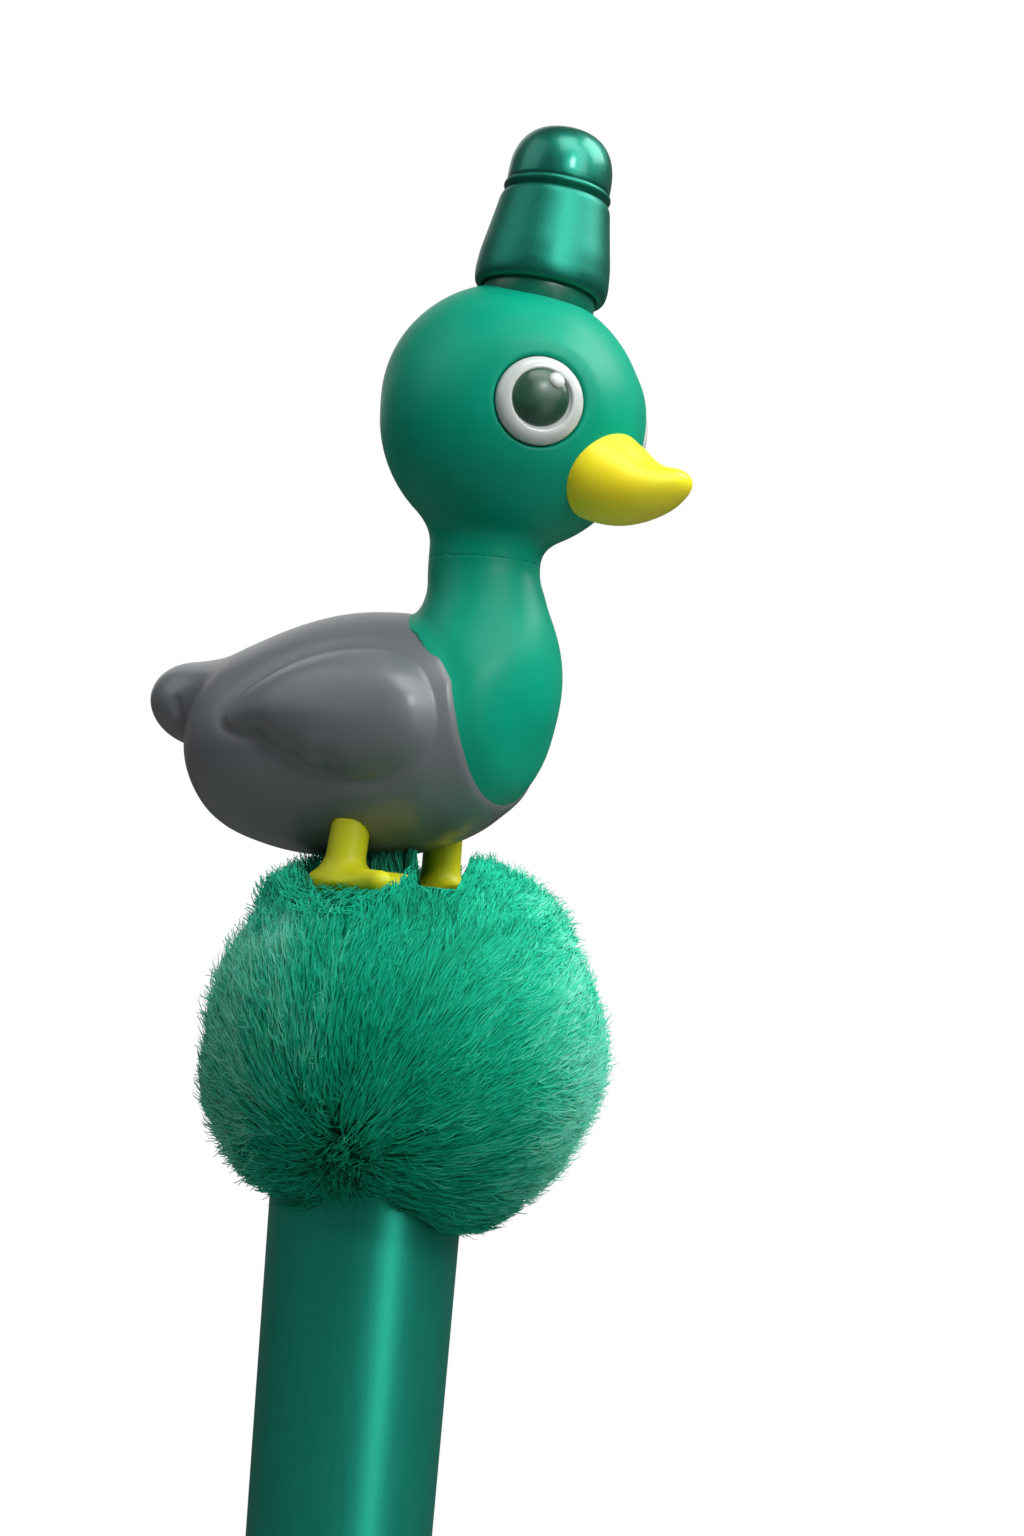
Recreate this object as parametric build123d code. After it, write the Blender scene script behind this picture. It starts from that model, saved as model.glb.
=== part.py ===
"""Twist-action ballpoint pen, topped by a faux-fur pom-pom and a small duck in a turned cap.

Millimetres. The origin is the centre of the nose's front opening, +Z runs up the pen's axis and the duck
faces +X. The writing point is drawn in at rest: turning the upper barrel by half a turn brings it out.
"""

import os
from math import cos, radians, sin, sqrt

from build123d import *

os.makedirs("parts", exist_ok=True)

# ---------------------------------------------------------------- driving dimensions
FIT = 0.05  # radial clearance of a running fit
GAP = 0.15  # between faces that turn or slide past each other

# pen
NOSE_LENGTH = 17.0
GRIP_R = 5.30  # the lower barrel, a true cylinder
JOINT_Z = 61.0  # where the upper barrel turns on the lower one
UPPER_BOTTOM_R = 5.36
UPPER_TOP_R = 6.08
BARREL_TOP_Z = 119.6
BORE_R = 4.30  # both barrels
TIP_BORE_R = 1.21
RING_R = 5.75
RING_HEIGHT = 3.2

# twist mechanism
TRAVEL = 5.0  # of the refill
TWIST = 180.0  # degrees of the upper barrel
LUG_R = 0.50
LUG_CLEARANCE = 0.10
LUG_Z = 76.0  # centre of the lugs with the refill drawn in
LUG_REACH = 3.95  # from the axis to a lug's end
SLEEVE_R = 3.20  # guide sleeve, inside the cam sleeve
SLEEVE_LOW_Z = 50.0
SLEEVE_SEAT_Z = 56.0  # top of the sleeve's collar, in the lower barrel
SLEEVE_TOP_Z = 86.0
CAM_LOW_Z = 68.5
CAM_TOP_Z = 80.0
CAM_STEPS = 30  # cuts along each helical slot
CARRIER_R = 2.45
CARRIER_LOW_Z = 72.0
CARRIER_TOP_Z = 84.0

# refill
REFILL_R = 1.50
REFILL_WALL = 0.40
TIP_R = 1.16
BALL_R = 0.35
POINT_Z = 2.4  # the ball's underside, drawn in
TUBE_LOW_Z = 12.4
REFILL_TOP_Z = 79.0
INK_LOW_Z = 18.0
INK_TOP_Z = 70.0
INK_FEED_R = 0.25  # the bore through the tip
SHOULDER_Z = 16.6  # the spring pushes up under a ring crimped round the tube
SHOULDER_R = 2.3
SHOULDER_HEIGHT = 1.2
WIRE_R = 0.20
SPRING_R = 2.05
SPRING_TURNS = 6
SPRING_PLAY = 0.02  # at each end, as drawn

# pom-pom
POM_Z = 128.6
POM_X = 1.8  # the fur hangs a little forward of the axis
FUR_R = 13.0
FUR_SQUAT = 0.96  # its height against its width
STUFFING_R = 7.0
STEM_R = 1.60
STEM_TOP_Z = 137.0
PLATE_R = 5.6
PLATE_HEIGHT = 1.2
PLATE_BOSS_R = 2.8
TREAD_R = 9.6  # the fur is pressed flat under the feet
GATHER_R = 2.35
GATHER_HEIGHT = 0.9

# duck
PERCH_Z = 138.2  # top of the foot plate
WALL = 1.0
LEG_R = 1.20
LEG_Y = 4.3
LEG_RIGHT_X = -0.9
LEG_LEFT_X = 1.5
LEG_TOP_Z = 146.2  # inside the body
FOOT_HEIGHT = 1.6
FOOT_LENGTH = 6.8
FOOT_ROUND = 0.7
HEEL_R = 1.4
TOE_R = 1.1
HEEL_BACK = 2.4  # from the leg's axis to the back of the heel
TOE_SPREAD = 24.0
NECK_X = 4.85  # axis that the head turns on
NECK_TOP_Z = 161.3
HEAD_CENTRE = (6.0, 0.0, 169.3)
HEAD_R = 8.40
EYE_Z = 169.18
EYE_TURN = 39.3  # degrees forward of sideways
EYE_R = 2.95
EYE_SUNK = 1.2  # from the head's surface down to the eye's seat
PUPIL_R = 1.90
GLINT_R = 0.52
PIN_R = 1.50
BUSH_R = 2.60

# hat, along its own leaning axis
HAT_BASE = (7.1, 0.3, 177.45)
HAT_LEAN = (0.050, 0.115)  # run per unit of rise, towards +X and +Y
CUP_BASE_R = 4.28
CUP_TOP_R = 3.62
CUP_HEIGHT = 6.45
DOME_R = 3.38
DOME_HEIGHT = 4.0
DOME_ROUND = 2.6
BAND_HEIGHT = 0.6
BAND_PROUD = 0.08
COLLAR_R = 3.35
COLLAR_TOP = 2.6
COLLAR_DEPTH = 3.2  # down into the head


# ---------------------------------------------------------------- helpers
def save(shape, node):
    """Writes one sub-part."""
    shape.label = node
    export_step(shape, f"parts/{node}.step")


def rod(radius, low, high):
    """A cylinder on the pen's axis."""
    return Pos(0, 0, (low + high) / 2) * Cylinder(radius, high - low)


def tube(outer, inner, low, high):
    """A ring or tube on the pen's axis."""
    return rod(outer, low, high) - rod(inner, low - 1, high + 1)


def turned(profile):
    """A solid of revolution about Z from (radius, z) points."""
    return revolve(Plane.XZ * make_face(Polyline(*profile, close=True)), Axis.Z)


def ball(radius_x, radius_y, radius_z):
    """An ellipsoid at the origin, lofted through sections along X."""
    rings = []
    for share in (-0.88, -0.6, -0.3, 0, 0.3, 0.6, 0.88):
        across = sqrt(1 - share**2)
        plane = Plane(origin=(radius_x * share, 0, 0), x_dir=(0, 1, 0), z_dir=(1, 0, 0))
        rings.append(plane * Ellipse(radius_y * across, radius_z * across))
    return loft([Vertex(-radius_x, 0, 0)] + rings + [Vertex(radius_x, 0, 0)])


# ---------------------------------------------------------------- lower barrel and nose
SPRING_SEAT_Z = 6.5
SPRING_BORE_R = 2.60
SPIGOT_TOP_Z = 67.0
PLUG_IN_Z = 23.0  # how far the nose reaches up inside the lower barrel
MOUTH_R = 1.4
MOUTH_ROUND = 0.35
NECK_DOWN_R = GRIP_R - 0.35  # the lower barrel, under the centre ring

nose_curve = Spline(
    (MOUTH_R + MOUTH_ROUND, MOUTH_ROUND),
    (2.9, 4.0),
    (4.1, 9.0),
    (GRIP_R, NOSE_LENGTH),
    tangents=[(0.35, 1), (0.12, 1)],
)
nose_inside = Polyline(
    (GRIP_R, NOSE_LENGTH),
    (BORE_R, NOSE_LENGTH),
    (BORE_R, PLUG_IN_Z),
    (0, PLUG_IN_Z),
    (0, 0),
    (MOUTH_R, 0),
    (MOUTH_R + MOUTH_ROUND, MOUTH_ROUND),
)
nose_cone = revolve(Plane.XZ * make_face(nose_curve + nose_inside), Axis.Z)
nose_cone -= rod(TIP_BORE_R, -1, SPRING_SEAT_Z)
nose_cone -= rod(SPRING_BORE_R, SPRING_SEAT_Z, PLUG_IN_Z + 1)
save(nose_cone, "nose_cone")

RING_LOW_Z = JOINT_Z - RING_HEIGHT
lower_barrel = rod(GRIP_R, NOSE_LENGTH, RING_LOW_Z)
lower_barrel += rod(NECK_DOWN_R, RING_LOW_Z, JOINT_Z)
lower_barrel += rod(BORE_R - FIT, JOINT_Z, SPIGOT_TOP_Z)
lower_barrel -= rod(BORE_R, NOSE_LENGTH - 1, SLEEVE_SEAT_Z)
lower_barrel -= rod(SLEEVE_R, SLEEVE_SEAT_Z - 1, SPIGOT_TOP_Z + 1)
save(lower_barrel, "lower_barrel")

centre_ring = tube(RING_R, NECK_DOWN_R, RING_LOW_Z, JOINT_Z)
outer_rims = centre_ring.edges().filter_by(GeomType.CIRCLE).sort_by(SortBy.RADIUS)[-2:]
centre_ring = fillet(outer_rims, 0.45)
save(centre_ring, "centre_ring")

# ---------------------------------------------------------------- twist mechanism
SLEEVE_BORE_R = CARRIER_R + FIT
SLOT_R = LUG_R + LUG_CLEARANCE
CAM_BORE_R = SLEEVE_R + FIT

# The guide sleeve is clamped in the lower barrel and keeps the carrier from turning.
guide_sleeve = tube(SLEEVE_R, SLEEVE_BORE_R, SLEEVE_LOW_Z, SLEEVE_TOP_Z)
guide_sleeve += tube(BORE_R, SLEEVE_BORE_R, SLEEVE_LOW_Z, SLEEVE_SEAT_Z)
slot_middle = LUG_Z - TRAVEL / 2
guide_sleeve -= Pos(0, 0, slot_middle) * Box(2 * SLEEVE_R + 2, 2 * SLOT_R, TRAVEL + 2 * SLOT_R)
save(guide_sleeve, "guide_sleeve")

# The cam sleeve turns with the upper barrel. Each lug follows one of its two helical slots.
cam_sleeve = tube(BORE_R, CAM_BORE_R, CAM_LOW_Z, CAM_TOP_Z)
slot_pin = Rot(0, 90, 0) * Cylinder(SLOT_R, BORE_R + 1, align=(Align.CENTER, Align.CENTER, Align.MIN))
for step in range(CAM_STEPS + 1):
    share = step / CAM_STEPS
    for start in (0, 180):
        cam_sleeve -= Pos(0, 0, LUG_Z - TRAVEL * share) * Rot(0, 0, start - TWIST * share) * slot_pin
save(cam_sleeve, "cam_sleeve")

refill_carrier = rod(CARRIER_R, CARRIER_LOW_Z, CARRIER_TOP_Z)
refill_carrier += Pos(0, 0, LUG_Z) * Rot(0, 90, 0) * Cylinder(LUG_R, 2 * LUG_REACH)
refill_carrier -= rod(REFILL_R, CARRIER_LOW_Z - 1, REFILL_TOP_Z)
save(refill_carrier, "refill_carrier")

# ---------------------------------------------------------------- refill and spring
INK_R = REFILL_R - REFILL_WALL
BALL_Z = POINT_Z + BALL_R
SOCKET_LOW_Z = BALL_Z - 0.12  # the tip grips the ball below its middle

save(tube(REFILL_R, INK_R, TUBE_LOW_Z, REFILL_TOP_Z), "refill_tube")
save(rod(INK_R, INK_LOW_Z, INK_TOP_Z), "ink_column")

refill_tip = turned(
    [
        (0.42, SOCKET_LOW_Z),
        (0.62, BALL_Z + 0.5),
        (TIP_R, POINT_Z + 3.6),
        (TIP_R, TUBE_LOW_Z - 0.6),
        (REFILL_R, TUBE_LOW_Z - 0.6),
        (REFILL_R, TUBE_LOW_Z),
        (INK_R, TUBE_LOW_Z),
        (INK_R, INK_LOW_Z),
        (INK_FEED_R, INK_LOW_Z),
        (INK_FEED_R, SOCKET_LOW_Z),
    ]
)
writing_ball = Pos(0, 0, BALL_Z) * Sphere(BALL_R)
save(refill_tip - writing_ball, "refill_tip")
save(writing_ball, "writing_ball")

save(tube(SHOULDER_R, REFILL_R, SHOULDER_Z, SHOULDER_Z + SHOULDER_HEIGHT), "spring_stop")

spring_low = SPRING_SEAT_Z + WIRE_R + SPRING_PLAY
spring_height = SHOULDER_Z - WIRE_R - SPRING_PLAY - spring_low
spring_path = Helix(pitch=spring_height / SPRING_TURNS, height=spring_height, radius=SPRING_R)
spring_wire = Plane(origin=spring_path @ 0, z_dir=spring_path % 0) * Circle(WIRE_R)
save(Pos(0, 0, spring_low) * sweep(spring_wire, path=spring_path), "return_spring")

# ---------------------------------------------------------------- upper barrel, plug and stem
UPPER_LOW_Z = JOINT_Z + GAP
PLUG_LOW_Z = 113.0
PLUG_RIM = 0.8
PLUG_TOP_Z = BARREL_TOP_Z + PLUG_RIM

upper_barrel = turned(
    [
        (BORE_R, UPPER_LOW_Z),
        (UPPER_BOTTOM_R, UPPER_LOW_Z),
        (UPPER_TOP_R, BARREL_TOP_Z),
        (BORE_R, BARREL_TOP_Z),
    ]
)
save(upper_barrel, "upper_barrel")

top_plug = rod(BORE_R, PLUG_LOW_Z, BARREL_TOP_Z)
top_plug += rod(UPPER_TOP_R, BARREL_TOP_Z, PLUG_TOP_Z)
top_plug -= rod(STEM_R, PLUG_LOW_Z - 1, PLUG_TOP_Z + 1)
save(top_plug, "top_plug")
save(rod(STEM_R, PLUG_LOW_Z, STEM_TOP_Z), "stem")

# ---------------------------------------------------------------- pom-pom
PLATE_LOW_Z = PERCH_Z - PLATE_HEIGHT
GATHER_LOW_Z = PLUG_TOP_Z + 0.35
GATHER_TOP_Z = GATHER_LOW_Z + GATHER_HEIGHT
BED = 0.05  # the fur stops this short of the pieces it lies against
FUR_BELOW_Z = 100.0  # clear of the fur, below and above
FUR_ABOVE_Z = 150.0

stem_hole = rod(STEM_R + FIT, FUR_BELOW_Z, FUR_ABOVE_Z)
stuffing_ball = Pos(POM_X / 2, 0, POM_Z) * Sphere(STUFFING_R)
save(stuffing_ball - stem_hole, "pompom_stuffing")
save(tube(GATHER_R, STEM_R + FIT, GATHER_LOW_Z, GATHER_TOP_Z), "gather_ring")

foot_plate = rod(PLATE_R, PLATE_LOW_Z, PERCH_Z)
foot_plate += rod(PLATE_BOSS_R, PLATE_LOW_Z - 1, PLATE_LOW_Z)
foot_plate -= rod(STEM_R, PLATE_LOW_Z - 2, STEM_TOP_Z)
save(foot_plate, "foot_plate")

pompom_fur = Pos(POM_X, 0, POM_Z) * scale(Sphere(FUR_R), by=(1, 1, FUR_SQUAT))
pompom_fur -= stuffing_ball
pompom_fur -= stem_hole
pompom_fur -= rod(UPPER_TOP_R + BED, FUR_BELOW_Z, PLUG_TOP_Z + BED)
pompom_fur -= rod(GATHER_R + BED, FUR_BELOW_Z, GATHER_TOP_Z + BED)
pompom_fur -= rod(PLATE_R + BED, PLATE_LOW_Z - BED, FUR_ABOVE_Z)
pompom_fur -= rod(PLATE_BOSS_R + BED, PLATE_LOW_Z - 1 - BED, PLATE_LOW_Z)
pompom_fur -= rod(TREAD_R, PERCH_Z - BED, FUR_ABOVE_Z)
save(pompom_fur, "pompom_fur")


# ---------------------------------------------------------------- duck's body
# x, underside, back, half width
BODY_SECTIONS = [
    (-14.3, 145.0, 150.9, 3.2),
    (-12.6, 143.0, 153.3, 5.4),
    (-9.2, 141.6, 155.1, 6.9),
    (-4.0, 141.0, 156.6, 7.7),
    (1.5, 141.5, 156.6, 7.8),
    (5.5, 143.2, 156.0, 6.9),
    (8.2, 145.9, 155.4, 4.9),
    (9.5, 149.3, 154.5, 2.6),
]
BREAST_POINT = (9.95, 152.0)  # x and z where the sections close, front and rear
RUMP_POINT = (-15.1, 147.6)
# z, centre x, radius along x, radius along y
NECK_SECTIONS = [
    (149.2, 3.6, 5.0, 5.2),
    (151.0, 4.0, 5.3, 5.5),
    (153.5, 4.6, 5.15, 5.3),
    (156.0, 5.25, 4.25, 4.5),
    (158.0, 5.2, 3.80, 3.85),
    (160.0, 4.9, 3.6, 3.6),
    (NECK_TOP_Z, NECK_X, 3.5, 3.5),
]
NECK_SOLID_Z = 158.4  # the neck is solid above this, round the pin
# x and z of the line where the grey body meets the green breast, from the back to the belly
SEAM = [(0.2, 156.9), (3.5, 155.2), (5.4, 153.4), (6.4, 151.6), (6.85, 149.4), (7.1, 147.3), (7.2, 144.0)]


def body_form(inset):
    """The body without tail and wings, or its hollow, that much further in."""
    sections = BODY_SECTIONS if inset == 0 else BODY_SECTIONS[1:-1]
    rings = []
    for x, low, high, half_width in sections:
        plane = Plane(origin=(x, 0, (low + high) / 2), x_dir=(0, 1, 0), z_dir=(1, 0, 0))
        rings.append(plane * Ellipse(half_width - inset, (high - low) / 2 - inset))
    rear = Vertex(RUMP_POINT[0] + inset, 0, RUMP_POINT[1])
    front = Vertex(BREAST_POINT[0] - inset, 0, BREAST_POINT[1])
    return loft([rear] + rings + [front])


def neck_form(inset, top):
    """The neck, from inside the breast up to the head."""
    below = [section for section in NECK_SECTIONS if section[0] < top]
    last = NECK_SECTIONS[-1]
    rings = []
    for z, x, radius_x, radius_y in below + [(top, *last[1:])]:
        rings.append(Plane(origin=(x, 0, z)) * Ellipse(radius_x - inset, radius_y - inset))
    return loft(rings)


trunk = body_form(0) + neck_form(0, NECK_TOP_Z)
hollow = body_form(WALL) + neck_form(WALL, NECK_SOLID_Z)

# The green breast and the grey body meet on a surface square to the middle plane.
around_breast = Polyline(SEAM[-1], (7.2, 140), (14, 140), (14, 170), (-3, 170), (-3, 157.6), SEAM[0])
breast_side = extrude(Plane.XZ * make_face(Spline(*SEAM) + around_breast), amount=12, both=True)

pin_hole = Pos(NECK_X, 0, 0) * rod(PIN_R, NECK_SOLID_Z - 3, NECK_TOP_Z + 1)
save((trunk & breast_side) - hollow - pin_hole, "neck_breast")

body_shell = trunk - breast_side
body_shell += Pos(-15.05, 0, 150.6) * Rot(0, 12, 0) * ball(3.4, 3.6, 2.8)  # tail
for side in (-1, 1):
    body_shell += Pos(-1.6, 6.5 * side, 149.2) * ball(8.2, 2.0, 4.2)  # wing
body_shell -= hollow
for x, side in ((LEG_RIGHT_X, -1), (LEG_LEFT_X, 1)):
    body_shell -= Pos(x, LEG_Y * side, 0) * rod(LEG_R, 135, LEG_TOP_Z + 0.8)
save(body_shell, "body_shell")

# ---------------------------------------------------------------- legs with webbed feet
def leg(x, side):
    """A leg with its webbed foot of three toes, standing on the foot plate."""
    heel = Pos(HEEL_R, 0) * Circle(HEEL_R)
    outline = list(heel.edges())
    for turn in (-TOE_SPREAD, 0, TOE_SPREAD):
        toe = Rot(0, 0, turn) * Pos(FOOT_LENGTH - TOE_R, 0) * Circle(TOE_R)
        outline.extend(toe.edges())
    foot = extrude(make_hull(outline), amount=FOOT_HEIGHT)
    foot = fillet(foot.edges().group_by(Axis.Z)[-1], FOOT_ROUND)
    foot = Pos(x - HEEL_BACK, LEG_Y * side, PERCH_Z) * foot
    return foot + Pos(x, LEG_Y * side, 0) * rod(LEG_R, PERCH_Z, LEG_TOP_Z)


save(leg(LEG_RIGHT_X, -1), "leg_right")
save(leg(LEG_LEFT_X, 1), "leg_left")

# ---------------------------------------------------------------- head
HEAD_LOW_Z = NECK_TOP_Z + GAP
FLOOR_Z = HEAD_LOW_Z + 2.2
FLANGE_HEIGHT = 0.8
FLANGE_TOP_Z = FLOOR_Z + FLANGE_HEIGHT
PIN_HEAD_Z = FLANGE_TOP_Z + GAP
head_place = Pos(*HEAD_CENTRE)
head_hollow = head_place * Sphere(HEAD_R - WALL - 0.2)

head_outer = head_place * Sphere(HEAD_R)
head_outer += loft(
    [
        Plane(origin=(NECK_X, 0, HEAD_LOW_Z)) * Circle(3.55),
        Plane(origin=(NECK_X + 0.1, 0, HEAD_LOW_Z + 1.0)) * Circle(4.0),
        Plane(origin=(NECK_X + 0.3, 0, HEAD_LOW_Z + 3.0)) * Circle(5.6),
    ]
)
below_head = Pos(0, 0, HEAD_LOW_Z - 20) * Box(80, 80, 40)
below_floor = Pos(0, 0, FLOOR_Z - 20) * Box(80, 80, 40)
head_shell = head_outer - below_head
head_shell -= head_hollow - below_floor
head_shell -= Pos(NECK_X, 0, 0) * rod(BUSH_R, HEAD_LOW_Z - 1, FLOOR_Z + 1)

head_bush = tube(BUSH_R, PIN_R + FIT, HEAD_LOW_Z, FLOOR_Z)
head_bush += tube(BUSH_R + 0.6, PIN_R + FIT, FLOOR_Z, FLANGE_TOP_Z)
save(Pos(NECK_X, 0, 0) * head_bush, "head_bush")

neck_pin = rod(PIN_R, NECK_SOLID_Z - 1.0, PIN_HEAD_Z)
neck_pin += rod(PIN_R + 0.9, PIN_HEAD_Z, PIN_HEAD_Z + 1.0)
neck_pin += rod(PIN_R + 0.5, NECK_SOLID_Z - 1.8, NECK_SOLID_Z - 0.02)
save(Pos(NECK_X, 0, 0) * neck_pin, "neck_pin")


# ---------------------------------------------------------------- eyes
def eye_frame(side):
    """Where an eye sits on the head, with +Z out along the line that it looks."""
    turn = radians(EYE_TURN)
    look = Vector(sin(turn), side * cos(turn), 0)
    centre = Vector(HEAD_CENTRE[0], 0, EYE_Z) + look * (HEAD_R - EYE_SUNK)
    return Plane(origin=centre, z_dir=look, x_dir=Vector(-look.Y, look.X, 0) * -side).location


def lens(radius, height, low, dome):
    """A round button with a domed face: its rim is at height and its crown dome above that."""
    sphere_r = (radius**2 + dome**2) / (2 * dome)
    slug = rod(radius, low, height + dome + 1)
    return slug & (Pos(0, 0, height + dome - sphere_r) * Sphere(sphere_r))


white = lens(EYE_R, 0.55, -0.9, 1.1)
pupil = Pos(0, 0.15, 0) * lens(PUPIL_R, 1.35, 0.2, 0.42)
glint = Pos(0.95, 1.2, 1.55) * Sphere(GLINT_R)
socket = rod(EYE_R, -0.9, 3)
for name, side in (("right", -1), ("left", 1)):
    place = eye_frame(side)
    save(place * (white - pupil - glint), f"eye_white_{name}")
    save(place * (pupil - glint), f"pupil_{name}")
    save(place * glint, f"glint_{name}")
    head_shell -= place * socket

# ---------------------------------------------------------------- beak
# x, z, half height, half width, and how far the section leans forward in degrees
BEAK_SECTIONS = [
    (11.0, 166.2, 2.80, 3.5, 20),
    (12.6, 165.7, 3.00, 3.8, 22),
    (14.3, 165.0, 2.65, 3.4, 18),
    (16.1, 164.5, 1.90, 2.7, 8),
    (17.5, 164.5, 1.25, 1.9, -8),
    (18.4, 164.7, 0.75, 1.1, -15),
]
BEAK_POINT = (18.75, 0, 164.8)

beak_rings = []
for x, z, half_height, half_width, lean in BEAK_SECTIONS:
    plane = Plane(origin=(x, 0, z), z_dir=(cos(radians(lean)), 0, -sin(radians(lean))))
    beak_rings.append(plane * Ellipse(half_height, half_width))
beak = loft(beak_rings + [Vertex(*BEAK_POINT)])
save(beak, "beak")

# ---------------------------------------------------------------- hat
hat_axis = Vector(HAT_LEAN[0], HAT_LEAN[1], 1).normalized()
hat_place = Plane(origin=HAT_BASE, z_dir=hat_axis, x_dir=(1, 0, -HAT_LEAN[0])).location
BAND_TOP = CUP_HEIGHT + BAND_HEIGHT
SOCKET_R = COLLAR_R + FIT  # of the cup, over the collar
SOCKET_TOP = COLLAR_TOP + 0.2

save(hat_place * tube(COLLAR_R, 1.2, -COLLAR_DEPTH, COLLAR_TOP) - head_hollow, "hat_collar")
head_shell -= beak
head_shell -= hat_place * rod(COLLAR_R, -COLLAR_DEPTH, COLLAR_TOP)
save(head_shell, "head_shell")

hat_cup = turned(
    [
        (COLLAR_R + 0.10, 0.35),
        (COLLAR_R + 0.25, 0.0),
        (CUP_BASE_R - 0.25, 0.0),
        (CUP_BASE_R, 0.45),
        (CUP_BASE_R - 0.05, 1.6),
        (CUP_TOP_R, CUP_HEIGHT),
        (0.0, CUP_HEIGHT),
        (0.0, SOCKET_TOP),
        (SOCKET_R, SOCKET_TOP),
        (SOCKET_R, 0.35),
    ]
)
save(hat_place * hat_cup, "hat_cup")

hat_band = rod(CUP_TOP_R + BAND_PROUD, CUP_HEIGHT, BAND_TOP)
save(hat_place * fillet(hat_band.edges(), 0.25), "hat_band")

hat_dome = rod(DOME_R, BAND_TOP, BAND_TOP + DOME_HEIGHT)
hat_dome = fillet(hat_dome.edges().group_by(Axis.Z)[-1], DOME_ROUND)
save(hat_place * hat_dome, "hat_dome")
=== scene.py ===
"""Looks of a twist pen with a fur pom-pom and a small duck in a turned cap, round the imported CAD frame.

Shapes are worked out in millimetres and made in metres. +Z runs up the pen and the duck faces +X.
"""

import math

import bpy
import numpy as np
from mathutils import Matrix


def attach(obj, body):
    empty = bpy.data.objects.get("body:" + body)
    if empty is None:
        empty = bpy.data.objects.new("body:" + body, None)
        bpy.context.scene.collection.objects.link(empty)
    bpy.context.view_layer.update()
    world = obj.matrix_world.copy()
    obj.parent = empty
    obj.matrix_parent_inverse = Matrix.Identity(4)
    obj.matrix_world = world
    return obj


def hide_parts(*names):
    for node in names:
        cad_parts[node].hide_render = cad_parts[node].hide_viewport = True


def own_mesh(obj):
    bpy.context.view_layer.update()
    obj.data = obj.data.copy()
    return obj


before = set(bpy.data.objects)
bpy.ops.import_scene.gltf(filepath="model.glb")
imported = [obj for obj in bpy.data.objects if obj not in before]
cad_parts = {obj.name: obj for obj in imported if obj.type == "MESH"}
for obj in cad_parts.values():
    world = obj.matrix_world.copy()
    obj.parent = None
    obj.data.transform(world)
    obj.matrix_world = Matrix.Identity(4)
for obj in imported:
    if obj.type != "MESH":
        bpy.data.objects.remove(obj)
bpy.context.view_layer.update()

import openvdb
from mathutils import Matrix, Vector
from mathutils.kdtree import KDTree

MM = 0.001
SEED = 11

# ---------------------------------------------------------------- the object's dimensions, in mm
TIP_BORE_R = 1.21
SPRING_BORE_R = 2.6
SPRING_SEAT_Z = 6.5
SPRING_LOW_Z = 6.72
SPRING_HIGH_Z = 16.38
SPRING_R = 2.05
SPRING_TURNS = 6
WIRE_R = 0.20
GRIP_R = 5.30
BORE_R = 4.30
NECK_DOWN_R = 4.95
SPIGOT_R = BORE_R - 0.05
SLEEVE_R = 3.20
SLEEVE_LOW_Z = 56.0
SLEEVE_TOP_Z = 67.0
NOSE_TOP_Z = 17.0
NOSE_SPIGOT_TOP_Z = 23.0
RING_R = 5.75
RING_LOW_Z = 57.8
JOINT_Z = 61.0
UPPER_LOW_Z = 61.15
UPPER_BOTTOM_R = 5.36
UPPER_TOP_R = 6.08
BARREL_TOP_Z = 119.6

POM = np.array([1.8, 0.0, 128.6])
POM_SQUAT = 0.96
STUFFING_R = 7.0
STEM_ROOM_R = 2.5
PERCH_Z = 138.2

NECK_TOP_Z = 161.3
NECK_SEAM_Z = 159.9
NECK_X = 4.85
NECK_R = 3.56
PIN_ROOM_R = 1.5
PIN_LOW_Z = 155.4
HEAD = np.array([6.0, 0.0, 169.3])
HEAD_R = 8.4
HEAD_INNER_R = 7.2
HEAD_FLOOR_Z = 163.65
BUSH_R = 2.60
EYE_Z = 169.18
EYE_TURN = 39.3
EYE_SEAT = 7.2
PUPIL_R = 1.88
EYE_R = 2.78
LEG_RIGHT = (-0.9, -4.3)
LEG_LEFT = (1.5, 4.3)

HAT_BASE = np.array([7.1, 0.3, 177.45])
HAT_LEAN = np.array([0.050, 0.115, 1.0])


# ---------------------------------------------------------------- materials
def shade(red, green, blue):
    """A linear colour from an 8-bit sRGB one."""
    parts = []
    for value in (red, green, blue):
        part = value / 255
        parts.append(part / 12.92 if part <= 0.04045 else ((part + 0.055) / 1.055) ** 2.4)
    return (*parts, 1.0)


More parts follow.
